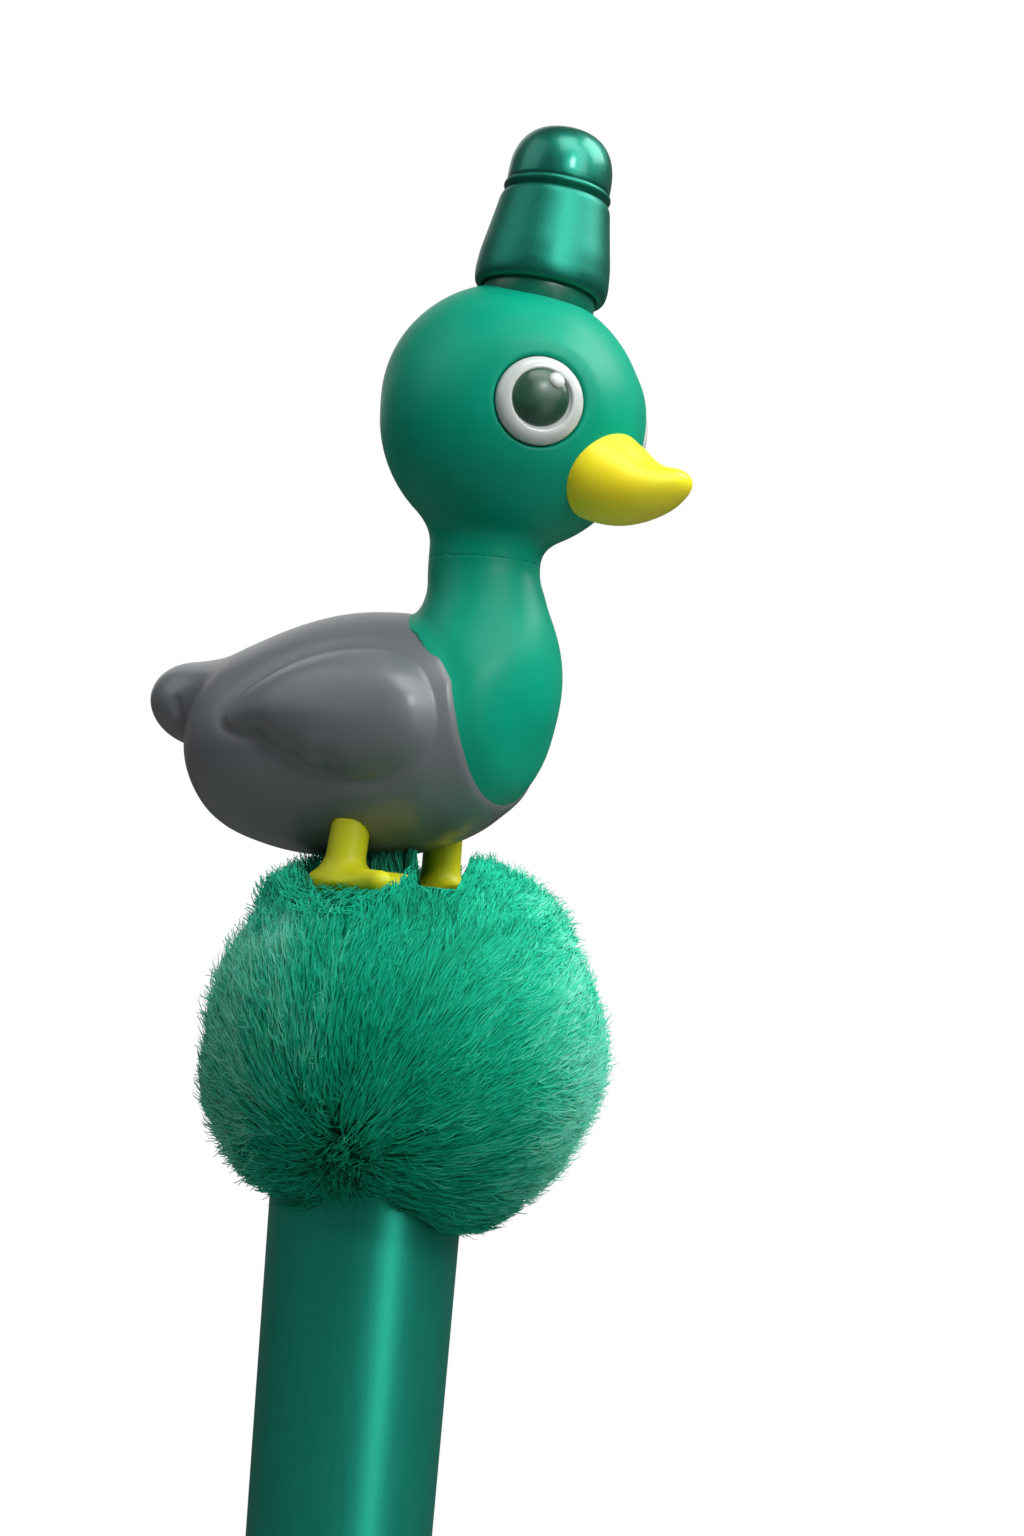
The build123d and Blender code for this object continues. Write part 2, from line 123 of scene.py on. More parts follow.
class Nodes:
    """A material's node tree, built node by node."""

    def __init__(self, name):
        self.material = bpy.data.materials.new(name)
        self.material.use_nodes = True
        self.tree = self.material.node_tree
        self.shader = self.tree.nodes["Principled BSDF"]
        self.place = self.add("ShaderNodeTexCoord").outputs["Object"]

    def add(self, kind, **settings):
        node = self.tree.nodes.new(kind)
        for key, value in settings.items():
            setattr(node, key, value)
        return node

    def link(self, source, target):
        self.tree.links.new(source, target)

    def noise(self, per_mm, detail=3.0, stretch=(1, 1, 1)):
        """A noise value, with its number of features to the millimetre."""
        spread = self.add("ShaderNodeMapping")
        spread.inputs["Scale"].default_value = stretch
        self.link(self.place, spread.inputs["Vector"])
        node = self.add("ShaderNodeTexNoise")
        node.inputs["Scale"].default_value = per_mm / MM
        node.inputs["Detail"].default_value = detail
        self.link(spread.outputs["Vector"], node.inputs["Vector"])
        return node.outputs["Fac"]

    def ramp(self, value, low, high, low_at=0.3, high_at=0.7):
        """A colour between two, by a value."""
        node = self.add("ShaderNodeValToRGB")
        node.color_ramp.elements[0].position = low_at
        node.color_ramp.elements[0].color = low
        node.color_ramp.elements[1].position = high_at
        node.color_ramp.elements[1].color = high
        self.link(value, node.inputs["Fac"])
        return node.outputs["Color"]

    def bump(self, value, depth_mm, strength=1.0):
        node = self.add("ShaderNodeBump")
        node.inputs["Distance"].default_value = depth_mm * MM
        node.inputs["Strength"].default_value = strength
        self.link(value, node.inputs["Height"])
        self.link(node.outputs["Normal"], self.shader.inputs["Normal"])

    def roughness(self, value, low, high):
        node = self.add("ShaderNodeMapRange")
        node.inputs["From Min"].default_value = 0.3
        node.inputs["From Max"].default_value = 0.7
        node.inputs["To Min"].default_value = low
        node.inputs["To Max"].default_value = high
        self.link(value, node.inputs["Value"])
        self.link(node.outputs["Result"], self.shader.inputs["Roughness"])

    def set(self, **values):
        for key, value in values.items():
            self.shader.inputs[key.replace("_", " ")].default_value = value


def vinyl(name, low, high, soft=0.10, glow=(0.2, 0.5, 0.4), rough=(0.36, 0.46), gloss=0.26):
    """Satin soft vinyl: cloudy colour, fine moulded skin and a little light through it."""
    n = Nodes(name)
    n.link(n.ramp(n.noise(0.22, 2.0), low, high), n.shader.inputs["Base Color"])
    n.roughness(n.noise(0.8, 3.0), *rough)
    n.bump(n.noise(9.0, 4.0), 0.006, 0.5)
    n.set(Subsurface_Weight=soft, Subsurface_Radius=glow, Subsurface_Scale=0.8 * MM, Specular_IOR_Level=gloss)
    return n.material


def lacquer(name, low, high, grain_mm, depth_mm, stretch, rough, coat=(0.12, 0.35)):
    """Satin metallic lacquer, with the grain of the brushed metal under it."""
    n = Nodes(name)
    grain = n.noise(grain_mm, 3.0, stretch)
    n.link(n.ramp(grain, low, high, 0.25, 0.75), n.shader.inputs["Base Color"])
    n.roughness(grain, *rough)
    n.bump(grain, depth_mm, 0.6)
    n.set(Metallic=0.88, Coat_Weight=coat[0], Coat_Roughness=coat[1])
    return n.material


def plain(name, low, high, roughness, metallic=0.0, feature=0.6, depth_mm=0.004, **more):
    """Turned metal or moulded plastic, with a faint mottle."""
    n = Nodes(name)
    mottle = n.noise(feature, 3.0)
    n.link(n.ramp(mottle, low, high), n.shader.inputs["Base Color"])
    n.roughness(mottle, roughness * 0.85, roughness * 1.15)
    n.bump(n.noise(feature * 8, 3.0), depth_mm, 0.5)
    n.set(Metallic=metallic, **more)
    return n.material


VINYL_GREEN = vinyl("vinyl_green", shade(0, 150, 119), shade(0, 158, 126), gloss=0.17)
VINYL_GREY = vinyl(
    "vinyl_grey", shade(108, 113, 116), shade(116, 121, 124), 0.05, (0.4, 0.4, 0.4), (0.31, 0.35), 0.60
)
VINYL_YELLOW = vinyl(
    "vinyl_yellow", shade(255, 234, 32), shade(255, 241, 46), 0.12, (0.6, 0.5, 0.1), gloss=0.36
)
# Painted shade: the beak's yellow vinyl made darker and greener for the legs, for the shade under the body.
SHADED_LEG_YELLOW = vinyl("leg_yellow_painted_shade", shade(200, 200, 24), shade(210, 211, 36), 0.10, (0.6, 0.5, 0.1))
EYE_WHITE = plain("eye_white", shade(190, 198, 194), shade(204, 211, 207), 0.22, Coat_Weight=0.3)
EYE_GREEN = plain(
    "eye_green", shade(18, 58, 40), shade(40, 90, 66), 0.34, feature=0.5, Coat_Weight=0.25, Coat_Roughness=0.22
)
COLLAR_GREEN = plain("collar_green", shade(0, 100, 78), shade(0, 112, 88), 0.32)
HAT_GREEN = lacquer(
    "hat_green", shade(20, 119, 101), shade(25, 128, 108), 2.6, 0.010, (1, 1, 0.8), (0.42, 0.48)
)
DOME_GREEN = lacquer(
    "dome_green", shade(20, 119, 101), shade(25, 128, 108), 2.6, 0.006, (1, 1, 0.8), (0.38, 0.44), (0.40, 0.16)
)
# Painted light: a much paler copy of the hat's green lacquer, standing in for the light that the barrel reflects.
LIT_BARREL_GREEN = lacquer(
    "barrel_green", shade(38, 188, 160), shade(42, 194, 166), 6.0, 0.002, (1, 1, 0.04), (0.34, 0.38)
)
POLISHED = plain("polished_metal", shade(205, 207, 210), shade(222, 224, 226), 0.10, 1.0, depth_mm=0.001)
STEEL = plain("steel", shade(168, 170, 173), shade(190, 192, 194), 0.28, 1.0)
BRASS = plain("brass", shade(190, 150, 78), shade(214, 176, 100), 0.26, 1.0)
NATURAL = plain("plastic_natural", shade(222, 222, 212), shade(234, 234, 226), 0.40)
GREEN_PLASTIC = plain("plastic_green", shade(0, 104, 80), shade(4, 118, 92), 0.42)
INK = plain("ink", shade(14, 18, 60), shade(20, 26, 78), 0.20)
ELASTIC = plain("elastic", shade(18, 84, 64), shade(34, 104, 82), 0.70, feature=3.0, depth_mm=0.05)
STUFFING = plain("stuffing", shade(214, 218, 214), shade(238, 240, 238), 0.9, feature=1.5, depth_mm=0.3)
REFILL = plain("refill_plastic", shade(214, 220, 224), shade(226, 232, 235), 0.2, Transmission_Weight=0.5)

# Dark to pale greens. Which one a fibre face takes is partly random and partly painted light and shade.
FUR_TONES = [
    shade(0, 104, 76),
    shade(0, 128, 95),
    shade(0, 148, 112),
    shade(0, 166, 127),
    shade(14, 184, 143),
    shade(64, 204, 166),
    shade(120, 222, 192),
]


def fur_tone(index, colour):
    """One tone of the dyed fibre. The tones are mixed at random strand by strand, and from root to tip as painted
    shade at the roots and painted light at the tips.
    """
    n = Nodes(f"fur_green_{index}")
    n.set(Base_Color=colour, Roughness=0.70, Specular_IOR_Level=0.12)
    n.set(Sheen_Weight=0.6, Sheen_Roughness=0.45, Sheen_Tint=shade(90, 226, 186))
    return n.material


FUR = [fur_tone(index, colour) for index, colour in enumerate(FUR_TONES)]
FUR_SKIN = plain("fur_skin", shade(0, 122, 92), shade(0, 138, 104), 0.85, feature=1.2, depth_mm=0.3)


# ---------------------------------------------------------------- meshes
def mesh_piece(name, points, faces, material, body, replaced=(), tones=None):
    """A smooth piece from points in mm and faces that all have the same number of corners."""
    points = np.asarray(points, np.float32) * MM
    faces = np.asarray(faces, np.int32)
    mesh = bpy.data.meshes.new(name)
    mesh.vertices.add(len(points))
    mesh.vertices.foreach_set("co", points.ravel())
    mesh.loops.add(faces.size)
    mesh.loops.foreach_set("vertex_index", faces.ravel())
    mesh.polygons.add(len(faces))
    mesh.polygons.foreach_set("loop_start", np.arange(0, faces.size, faces.shape[1], dtype=np.int32))
    for one in material if isinstance(material, list) else [material]:
        mesh.materials.append(one)
    if tones is not None:
        mesh.polygons.foreach_set("material_index", tones.astype(np.int32))
    mesh.update(calc_edges=True)
    mesh.polygons.foreach_set("use_smooth", np.ones(len(faces), bool))
    piece = bpy.data.objects.new(name, mesh)
    bpy.context.scene.collection.objects.link(piece)
    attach(piece, body)
    if replaced:
        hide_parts(*replaced)
    return piece


def rounded(corners, steps=6):
    """A closed or open profile through (radius, z, rounding) corners, with a soft arc at each rounded one."""
    support = 0.03
    count = len(corners)
    profile = []
    for index, (radius, z, rounding) in enumerate(corners):
        here = np.array([radius, z])
        if rounding == 0:
            profile.append(here)
            continue
        before = np.array(corners[index - 1][:2]) - here
        after = np.array(corners[(index + 1) % count][:2]) - here
        before = before / np.linalg.norm(before)
        after = after / np.linalg.norm(after)
        profile.append(here + before * (rounding + support))
        for step in range(steps + 1):
            t = step / steps
            profile.append(here + before * rounding * (1 - t) ** 2 + after * rounding * t**2)
        profile.append(here + after * (rounding + support))
    return profile


def lathe(name, profile, material, body, replaced=(), place=None, segments=120):
    """A turned piece. A profile that starts and ends on the axis makes a solid, and any other closes on itself."""
    profile = [np.asarray(point, float) for point in profile]
    solid = profile[0][0] < 1e-9 and profile[-1][0] < 1e-9
    rings = profile[1:-1] if solid else profile
    turn = np.arange(segments) * 2 * math.pi / segments
    points = [np.stack([r * np.cos(turn), r * np.sin(turn), np.full(segments, z)], 1) for r, z in rings]
    points = np.concatenate(points)
    faces = tube_faces(len(rings), segments, closed=not solid)
    if solid:
        points = np.concatenate([points, [[0, 0, profile[0][1]], [0, 0, profile[-1][1]]]])
    if place is not None:
        points = points @ place[0].T + place[1]
    return mesh_piece(name, points, outward(points, faces), material, body, replaced)


def tube_faces(rings, segments, closed=False):
    """Triangles between rings of points. An open tube ends in fans round two points that follow the rings."""
    here = np.arange(segments)
    after = (here + 1) % segments
    faces = []
    for ring in range(rings if closed else rings - 1):
        a, b = ring * segments, (ring + 1) % rings * segments
        faces.append(np.stack([a + here, a + after, b + after, b + here], 1))
    faces = np.concatenate(faces)
    faces = [faces[:, [0, 1, 2]], faces[:, [0, 2, 3]]]
    if not closed:
        low, last = rings * segments, (rings - 1) * segments
        faces.append(np.stack([np.full(segments, low), after, here], 1))
        faces.append(np.stack([np.full(segments, low + 1), last + here, last + after], 1))
    return np.concatenate(faces)


def arc(centre, radii, start, end, steps, powers=(1, 1)):
    """Points on an oval arc between two angles in degrees, squarer where a power is under 1."""
    turns = [math.radians(start + (end - start) * step / steps) for step in range(steps + 1)]
    return [
        (centre[0] + radii[0] * math.cos(turn) ** powers[0], centre[1] + radii[1] * math.sin(turn) ** powers[1])
        for turn in turns
    ]


def outward(points, faces):
    """The faces, turned round if they enclose a negative volume."""
    corners = points[faces[:, :3]]
    volume = np.einsum("ij,ij->i", corners[:, 0], np.cross(corners[:, 1], corners[:, 2])).sum()
    if faces.shape[1] == 4:
        other = points[faces[:, [0, 2, 3]]]
        volume += np.einsum("ij,ij->i", other[:, 0], np.cross(other[:, 1], other[:, 2])).sum()
    return faces if volume > 0 else faces[:, ::-1]


# ---------------------------------------------------------------- signed distance
def smooth(low, high, value):
    t = np.clip((value - low) / (high - low), 0, 1)
    return t * t * (3 - 2 * t)


def join(a, b, soft):
    """The union of two forms, softened over that many mm."""
    h = np.clip(0.5 + 0.5 * (b - a) / soft, 0, 1)
    return b + (a - b) * h - soft * h * (1 - h)


def carve(a, b, soft):
    """Form a without form b."""
    return -join(-a, b, soft)


def along(knots, values, at):
    """Values between knots on a smooth curve."""
    knots = np.asarray(knots, float)
    values = np.asarray(values, float)
    slopes = np.gradient(values, knots)
    i = np.clip(np.searchsorted(knots, at) - 1, 0, len(knots) - 2)
    span = knots[i + 1] - knots[i]
    t = np.clip((at - knots[i]) / span, 0, 1)
    return (
        (1 + 2 * t) * (1 - t) ** 2 * values[i]
        + t * (1 - t) ** 2 * span * slopes[i]
        + t * t * (3 - 2 * t) * values[i + 1]
        + t * t * (t - 1) * span * slopes[i + 1]
    )


def ellipsoid(x, y, z, centre, radii):
    px, py, pz = x - centre[0], y - centre[1], z - centre[2]
    near = np.sqrt((px / radii[0]) ** 2 + (py / radii[1]) ** 2 + (pz / radii[2]) ** 2)
    slope = np.sqrt((px / radii[0] ** 2) ** 2 + (py / radii[1] ** 2) ** 2 + (pz / radii[2] ** 2) ** 2)
    return near * (near - 1) / np.maximum(slope, 1e-6)


def tapered(x, y, z, start, end, start_r, end_r):
    """A rod with round ends, from one radius to another."""
    start, end = np.asarray(start, float), np.asarray(end, float)
    run = end - start
    t = ((x - start[0]) * run[0] + (y - start[1]) * run[1] + (z - start[2]) * run[2]) / (run @ run)
    t = np.clip(t, 0, 1)
    dx, dy, dz = x - start[0] - t * run[0], y - start[1] - t * run[1], z - start[2] - t * run[2]
    return np.sqrt(dx * dx + dy * dy + dz * dz) - (start_r + (end_r - start_r) * t)


def closed_curve(points, steps=8):
    """A smooth closed line through points."""
    points = np.asarray(points, float)
    line = []
    for i in range(len(points)):
        p0, p1, p2, p3 = (points[(i + k) % len(points)] for k in (-1, 0, 1, 2))
        for step in range(steps):
            t = step / steps
            line.append(
                0.5 * (2 * p1 + (p2 - p0) * t + (2 * p0 - 5 * p1 + 4 * p2 - p3) * t**2
                       + (3 * p1 - p0 - 3 * p2 + p3) * t**3)
            )
    return np.array(line)


def outline_distance(u, v, line):
    """Signed distance in a plane to a closed line, negative inside."""
    near = np.full(np.broadcast(u, v).shape, 1e9)
    inside = np.zeros(near.shape, bool)
    for (u0, v0), (u1, v1) in zip(line, np.roll(line, -1, 0)):
        du, dv = u1 - u0, v1 - v0
        t = np.clip(((u - u0) * du + (v - v0) * dv) / (du * du + dv * dv + 1e-12), 0, 1)
        near = np.minimum(near, (u - u0 - t * du) ** 2 + (v - v0 - t * dv) ** 2)
        crosses = (v0 > v) != (v1 > v)
        if dv != 0:
            inside ^= crosses & (u < u0 + (v - v0) * du / dv)
    return np.where(inside, -1, 1) * np.sqrt(near)


def form_piece(name, form, low, high, voxel, material, body, replaced=()):
    """A piece from a signed distance function of x, y and z, meshed and then settled onto the exact surface."""
    axes = [np.arange(a, b, voxel) for a, b in zip(low, high)]
    x, y, z = axes[0][:, None, None], axes[1][None, :, None], axes[2][None, None, :]
    field = np.clip(np.broadcast_to(form(x, y, z), [len(axis) for axis in axes]), -2 * voxel, 2 * voxel)
    grid = openvdb.FloatGrid(2 * voxel)
    grid.copyFromArray(np.ascontiguousarray(field, np.float32), tolerance=1e-6)
    points, quads = grid.convertToQuads(0.0)
    points = np.asarray(points, float) * voxel + np.asarray(low, float)
    step = 0.02
    for _ in range(3):
        x, y, z = points.T
        value = form(x, y, z)
        slope = np.stack([
            form(x + step, y, z) - form(x - step, y, z),
            form(x, y + step, z) - form(x, y - step, z),
            form(x, y, z + step) - form(x, y, z - step),
        ], 1) / (2 * step)
        size = np.maximum((slope**2).sum(1), 0.05)
        move = -(value / size)[:, None] * slope
        length = np.linalg.norm(move, axis=1, keepdims=True)
        points = points + move * np.minimum(1, 0.3 * voxel / np.maximum(length, 1e-9))
    return mesh_piece(name, points, outward(points, np.asarray(quads)), material, body, replaced)


# ---------------------------------------------------------------- pen
lathe(
    "barrel_upper",
    rounded([
        (BORE_R, UPPER_LOW_Z, 0),
        (UPPER_BOTTOM_R, UPPER_LOW_Z, 0.15),
        (UPPER_TOP_R, BARREL_TOP_Z, 0.12),
        (BORE_R, BARREL_TOP_Z, 0),
    ]),
    LIT_BARREL_GREEN, "upper", ["upper_barrel"],
)
lathe(
    "barrel_lower",
    rounded([
        (BORE_R, NOSE_TOP_Z, 0),
        (GRIP_R, NOSE_TOP_Z, 0.06),
        (GRIP_R, RING_LOW_Z, 0.06),
        (NECK_DOWN_R, RING_LOW_Z, 0),
        (NECK_DOWN_R, JOINT_Z, 0),
        (SPIGOT_R, JOINT_Z, 0),
        (SPIGOT_R, SLEEVE_TOP_Z, 0.1),
        (SLEEVE_R, SLEEVE_TOP_Z, 0.1),
        (SLEEVE_R, SLEEVE_LOW_Z, 0),
        (BORE_R, SLEEVE_LOW_Z, 0),
    ]),
    LIT_BARREL_GREEN, "lower", ["lower_barrel"],
)
lathe(
    "barrel_ring",
    rounded([
        (NECK_DOWN_R, RING_LOW_Z, 0),
        (RING_R, RING_LOW_Z, 0.45),
        (RING_R, JOINT_Z, 0.45),
        (NECK_DOWN_R, JOINT_Z, 0),
    ]),
    POLISHED, "lower", ["centre_ring"],
)

NOSE_Z = [0.35, 4.0, 9.0, 13.0, 16.9]
NOSE_R = [1.75, 2.9, 4.1, 4.85, 5.29]
nose_line = [(along(NOSE_Z, NOSE_R, z), z) for z in np.linspace(NOSE_Z[0], NOSE_Z[-1], 48)]
lathe(
    "nose_skin",
    [(TIP_BORE_R, 0.05), (1.26, 0.0), (1.4, 0.0), (1.55, 0.05), (1.68, 0.18)] + nose_line
    + [
        (GRIP_R, 16.97), (GRIP_R, NOSE_TOP_Z), (BORE_R, NOSE_TOP_Z), (BORE_R, NOSE_SPIGOT_TOP_Z),
        (SPRING_BORE_R, NOSE_SPIGOT_TOP_Z), (SPRING_BORE_R, SPRING_SEAT_Z), (TIP_BORE_R, SPRING_SEAT_Z),
    ],
    POLISHED, "lower", ["nose_cone"],
)



def spring_piece():
    """The return spring's wire, made at rest; the real spring closes up as the refill comes down."""
    steps, sides = 40 * SPRING_TURNS, 10
    turn = np.linspace(0, SPRING_TURNS * math.tau, steps + 1)
    height = np.linspace(SPRING_LOW_Z, SPRING_HIGH_Z, steps + 1)
    outwards = np.stack([np.cos(turn), np.sin(turn), np.zeros(steps + 1)], 1)
    middle = outwards * SPRING_R
    middle[:, 2] = height
    up = np.array([0, 0, 1.0])
    round_wire = np.arange(sides) * math.tau / sides
    points = [middle + WIRE_R * (math.cos(a) * outwards + math.sin(a) * up) for a in round_wire]
    points = np.concatenate([np.stack(points, 1).reshape(-1, 3), middle[[0, -1]]])
    faces = tube_faces(steps + 1, sides)
    piece = mesh_piece("spring_wire", points, outward(points, faces), STEEL, "lower", ["return_spring"])
    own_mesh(piece)


spring_piece()

# ---------------------------------------------------------------- duck's body
BODY = np.array([
    # x, underside, back, half width
    (-15.1, 147.6, 147.6, 0.0),
    (-14.3, 145.0, 150.9, 3.2),
    (-12.6, 143.0, 153.3, 5.4),
    (-9.2, 141.6, 155.1, 6.9),
    (-4.0, 141.0, 156.6, 7.7),
    (1.5, 141.5, 156.6, 7.8),
    (5.5, 143.2, 156.0, 6.9),
    (8.2, 145.9, 155.4, 4.9),
    (9.5, 149.3, 154.5, 2.6),
    (9.95, 152.0, 152.0, 0.0),
])
NECK = np.array([
    # z, centre x, radius along x, radius along y
    (142.5, 2.0, 2.4, 2.4),
    (145.0, 2.6, 3.6, 3.7),
    (147.2, 3.1, 4.5, 4.7),
    (149.2, 3.6, 5.0, 5.2),
    (151.0, 4.0, 5.3, 5.5),
    (153.5, 4.6, 5.15, 5.3),
    (156.0, 5.25, 4.25, 4.5),
    (158.0, 5.15, 3.76, 3.80),
    (159.2, 4.90, 3.585, 3.585),
    (NECK_SEAM_Z, NECK_X, NECK_R, NECK_R),
    (NECK_SEAM_Z + 0.6, NECK_X, 3.555, 3.555),
])
SEAM = [
    (0.2, 156.9), (3.5, 155.2), (5.4, 153.4), (6.4, 151.6), (6.85, 149.4), (7.1, 147.3), (7.15, 145.6), (7.2, 144.0),
]
BREAST_REGION = np.array(SEAM + [(7.2, 138.0), (16.0, 138.0), (16.0, 172.0), (-4.0, 172.0), (-4.0, 158.6)])
WING_LINE = closed_curve([
    (-9.3, 148.9), (-8.6, 150.0), (-6.6, 151.5), (-4.2, 152.75), (-1.5, 153.5), (1.4, 153.55),
    (3.8, 152.8), (5.3, 151.2), (5.9, 149.2), (5.6, 147.6), (4.3, 146.2), (2.2, 145.4), (0.2, 145.25),
    (-0.9, 145.75), (-1.6, 145.65), (-2.9, 146.0), (-3.5, 146.6), (-4.3, 146.65), (-5.5, 147.35),
    (-6.2, 147.95), (-7.2, 147.95), (-8.6, 148.3),
])
LOBE = (-15.0, 150.6)
LOBE_R = (3.5, 3.5, 2.75)
LOBE_PITCH = 0.21
LEG_LEAN = 0.62
LEG_TOP_Z = 142.95


def trunk(x, y, z):
    """The body without wings and tail, round at both ends."""
    middle = along(BODY[:, 0], (BODY[:, 1] + BODY[:, 2]) / 2, x)
    tall = (BODY[:, 2] - BODY[:, 1]) / 2
    ratio = tall[1:-1] / BODY[1:-1, 3]
    ratio = along(BODY[:, 0], np.concatenate([ratio[:1], ratio, ratio[-1:]]), x)
    tail_slope, front_slope = (tall[i] ** 2 / abs(BODY[i, 0] - BODY[j, 0]) for i, j in ((1, 0), (-2, -1)))

    def square(at):
        past = tail_slope * np.maximum(BODY[0, 0] - at, 0) + front_slope * np.maximum(at - BODY[-1, 0], 0)
        return along(BODY[:, 0], tall**2, at) - past

    change = (square(x + 0.05) - square(x - 0.05)) / 0.1
    far = (z - middle) ** 2 + (ratio * y) ** 2
    return (far - square(x)) / np.sqrt(4 * far + change**2 + 0.05)


def neck(x, y, z):
    centre = along(NECK[:, 0], NECK[:, 1], z)
    long = along(NECK[:, 0], NECK[:, 2], z)
    wide = along(NECK[:, 0], NECK[:, 3], z)
    share = np.sqrt(((x - centre) / long) ** 2 + (y / wide) ** 2 + 1e-9)
    return np.maximum((share - 1) * np.minimum(long, wide), NECK[0, 0] - z)


def leg_rod(x, y, z, leg_x, leg_y):
    """A leg without its foot, leaning in towards the top."""
    inward = -LEG_LEAN * math.copysign(1, leg_y)
    rod = tapered(x, y, z, (leg_x - 0.28, leg_y, PERCH_Z + 1.0), (leg_x, leg_y + inward, 146.0), 1.28, 1.2)
    return np.maximum(rod, z - LEG_TOP_Z)


def pitched(x, z):
    """Where a point is in the tail lobe's own frame."""
    turn_cos, turn_sin = math.cos(LOBE_PITCH), math.sin(LOBE_PITCH)
    return x * turn_cos - z * turn_sin, x * turn_sin + z * turn_cos


def hollow(x, y, z):
    """The room inside the body and the breast."""
    return np.maximum(trunk(x, y, z) + 1.1, np.maximum(x - 8.2, -12.5 - x))


def body_form(x, y, z):
    """The grey body, with folded wings, a rounded tail and a soft edge where the breast begins."""
    form = trunk(x, y, z)
    inside = -outline_distance(x, z, WING_LINE)
    flank = smooth(3.0, 5.0, np.abs(y))
    step = 0.30 * smooth(4.5, -2.0, x) * smooth(0.0, 0.34, inside) * (0.5 + 0.5 * smooth(147.6, 149.4, z))
    bulge = 1 - ((x + 0.4) / 8.6) ** 2 - ((z - 149.6) / 5.2) ** 2
    swell = 1.05 * smooth(0.0, 1.0, bulge) * (1 - np.exp(-(np.maximum(inside, 0) / 0.6) ** 1.4))
    crease = 0.12 * np.exp(-((inside + 0.25) / 0.45) ** 2) * smooth(5.0, 1.0, x)
    form = form - (step + swell - crease) * flank
    lobe_x, lobe_z = pitched(x, z)
    centre_x, centre_z = pitched(*LOBE)
    lobe = ellipsoid(lobe_x, y, lobe_z, (centre_x, 0, centre_z), LOBE_R)
    form = join(form, lobe, 0.45 + 2.4 * smooth(149.4, 152.4, z))
    dimple = tapered(x, np.abs(y), z, (-14.9, 3.55, 150.3), (-14.8, 3.0, 149.0), 0.22, 0.30)
    form = carve(form, dimple, 0.45)
    beyond = outline_distance(x, z, BREAST_REGION)
    form = -join(-form, beyond, 0.35)
    form = np.maximum(form, -hollow(x, y, z))
    for leg_x, leg_y in (LEG_RIGHT, LEG_LEFT):
        form = np.maximum(form, -leg_rod(x, y, z, leg_x, leg_y) - 0.02)
    return form


def breast_form(x, y, z):
    """The green neck and breast, sunk a little along the edge of the grey body."""
    form = join(trunk(x, y, z), neck(x, y, z), 1.6)
    ahead = -outline_distance(x, z, BREAST_REGION)
    form = form + 0.17 * np.exp(-(np.maximum(ahead, 0) / 0.9) ** 2)
    form = np.maximum(form, -ahead - 0.7)
    form = np.maximum(form, z - NECK_SEAM_Z - 0.15)
    form = np.maximum(form, -hollow(x, y, z))
    pin = np.maximum(np.hypot(x - NECK_X, y) - PIN_ROOM_R, PIN_LOW_Z - z)
    return np.maximum(form, -pin)


form_piece("duck_body", body_form, (-19.6, -9.8, 139.6), (8.6, 9.8, 158.6), 0.17,
           VINYL_GREY, "upper", ["body_shell"])
form_piece("duck_breast", breast_form, (-1.6, -7.6, 142.6), (10.8, 7.6, 162.0), 0.15,
           VINYL_GREEN, "upper", ["neck_breast"])


# ---------------------------------------------------------------- legs and webbed feet
def leg_form_at(leg_x, leg_y):
    """The form of a leg that leans in towards the top, on a foot with three toes and a web."""
    def form(x, y, z):
        sole = PERCH_Z + 0.72
        shape = leg_rod(x, y, z, leg_x, leg_y)
        heel = ellipsoid(x, y, z, (leg_x - 1.25, leg_y, sole), (1.5, 1.35, 0.95))
        foot = heel
        for turn in (-24, 0, 24):
            reach = 3.8 if turn else 4.1
            splay = math.radians(turn)
            tip = (leg_x + reach * math.cos(splay), leg_y + reach * math.sin(splay) * 1.25, sole - 0.05)
            toe = tapered(x, y, z, (leg_x - 0.9, leg_y, sole + 0.12), tip, 0.92, 0.78)
            foot = join(foot, toe, 0.35)
        web = ellipsoid(x, y, z, (leg_x + 1.4, leg_y, sole - 0.1), (3.2, 2.0, 0.65))
        foot = join(foot, web, 0.5)
        shape = join(shape, foot, 0.9)
        return np.maximum(shape, PERCH_Z - z)
    return form


for side, (leg_x, leg_y) in (("right", LEG_RIGHT), ("left", LEG_LEFT)):
    form_piece(f"duck_leg_{side}", leg_form_at(leg_x, leg_y),
               (leg_x - 3.4, leg_y - 3.4, PERCH_Z - 0.4), (leg_x + 5.4, leg_y + 3.4, 148.2), 0.11,
               SHADED_LEG_YELLOW, "upper", [f"leg_{side}"])


# ---------------------------------------------------------------- head
def eye_place(side):
    """Rotation and origin of an eye, with its Z out along the line that it looks."""
    turn = math.radians(EYE_TURN)
    look = np.array([math.sin(turn), side * math.cos(turn), 0.0])
    across = np.array([look[1] * -side, look[0] * side, 0.0])
    up = np.cross(look, across)
    if up[2] < 0:
        across, up = -across, -up
    return np.stack([across, up, look], 1), np.array([HEAD[0], 0, EYE_Z]) + look * EYE_SEAT


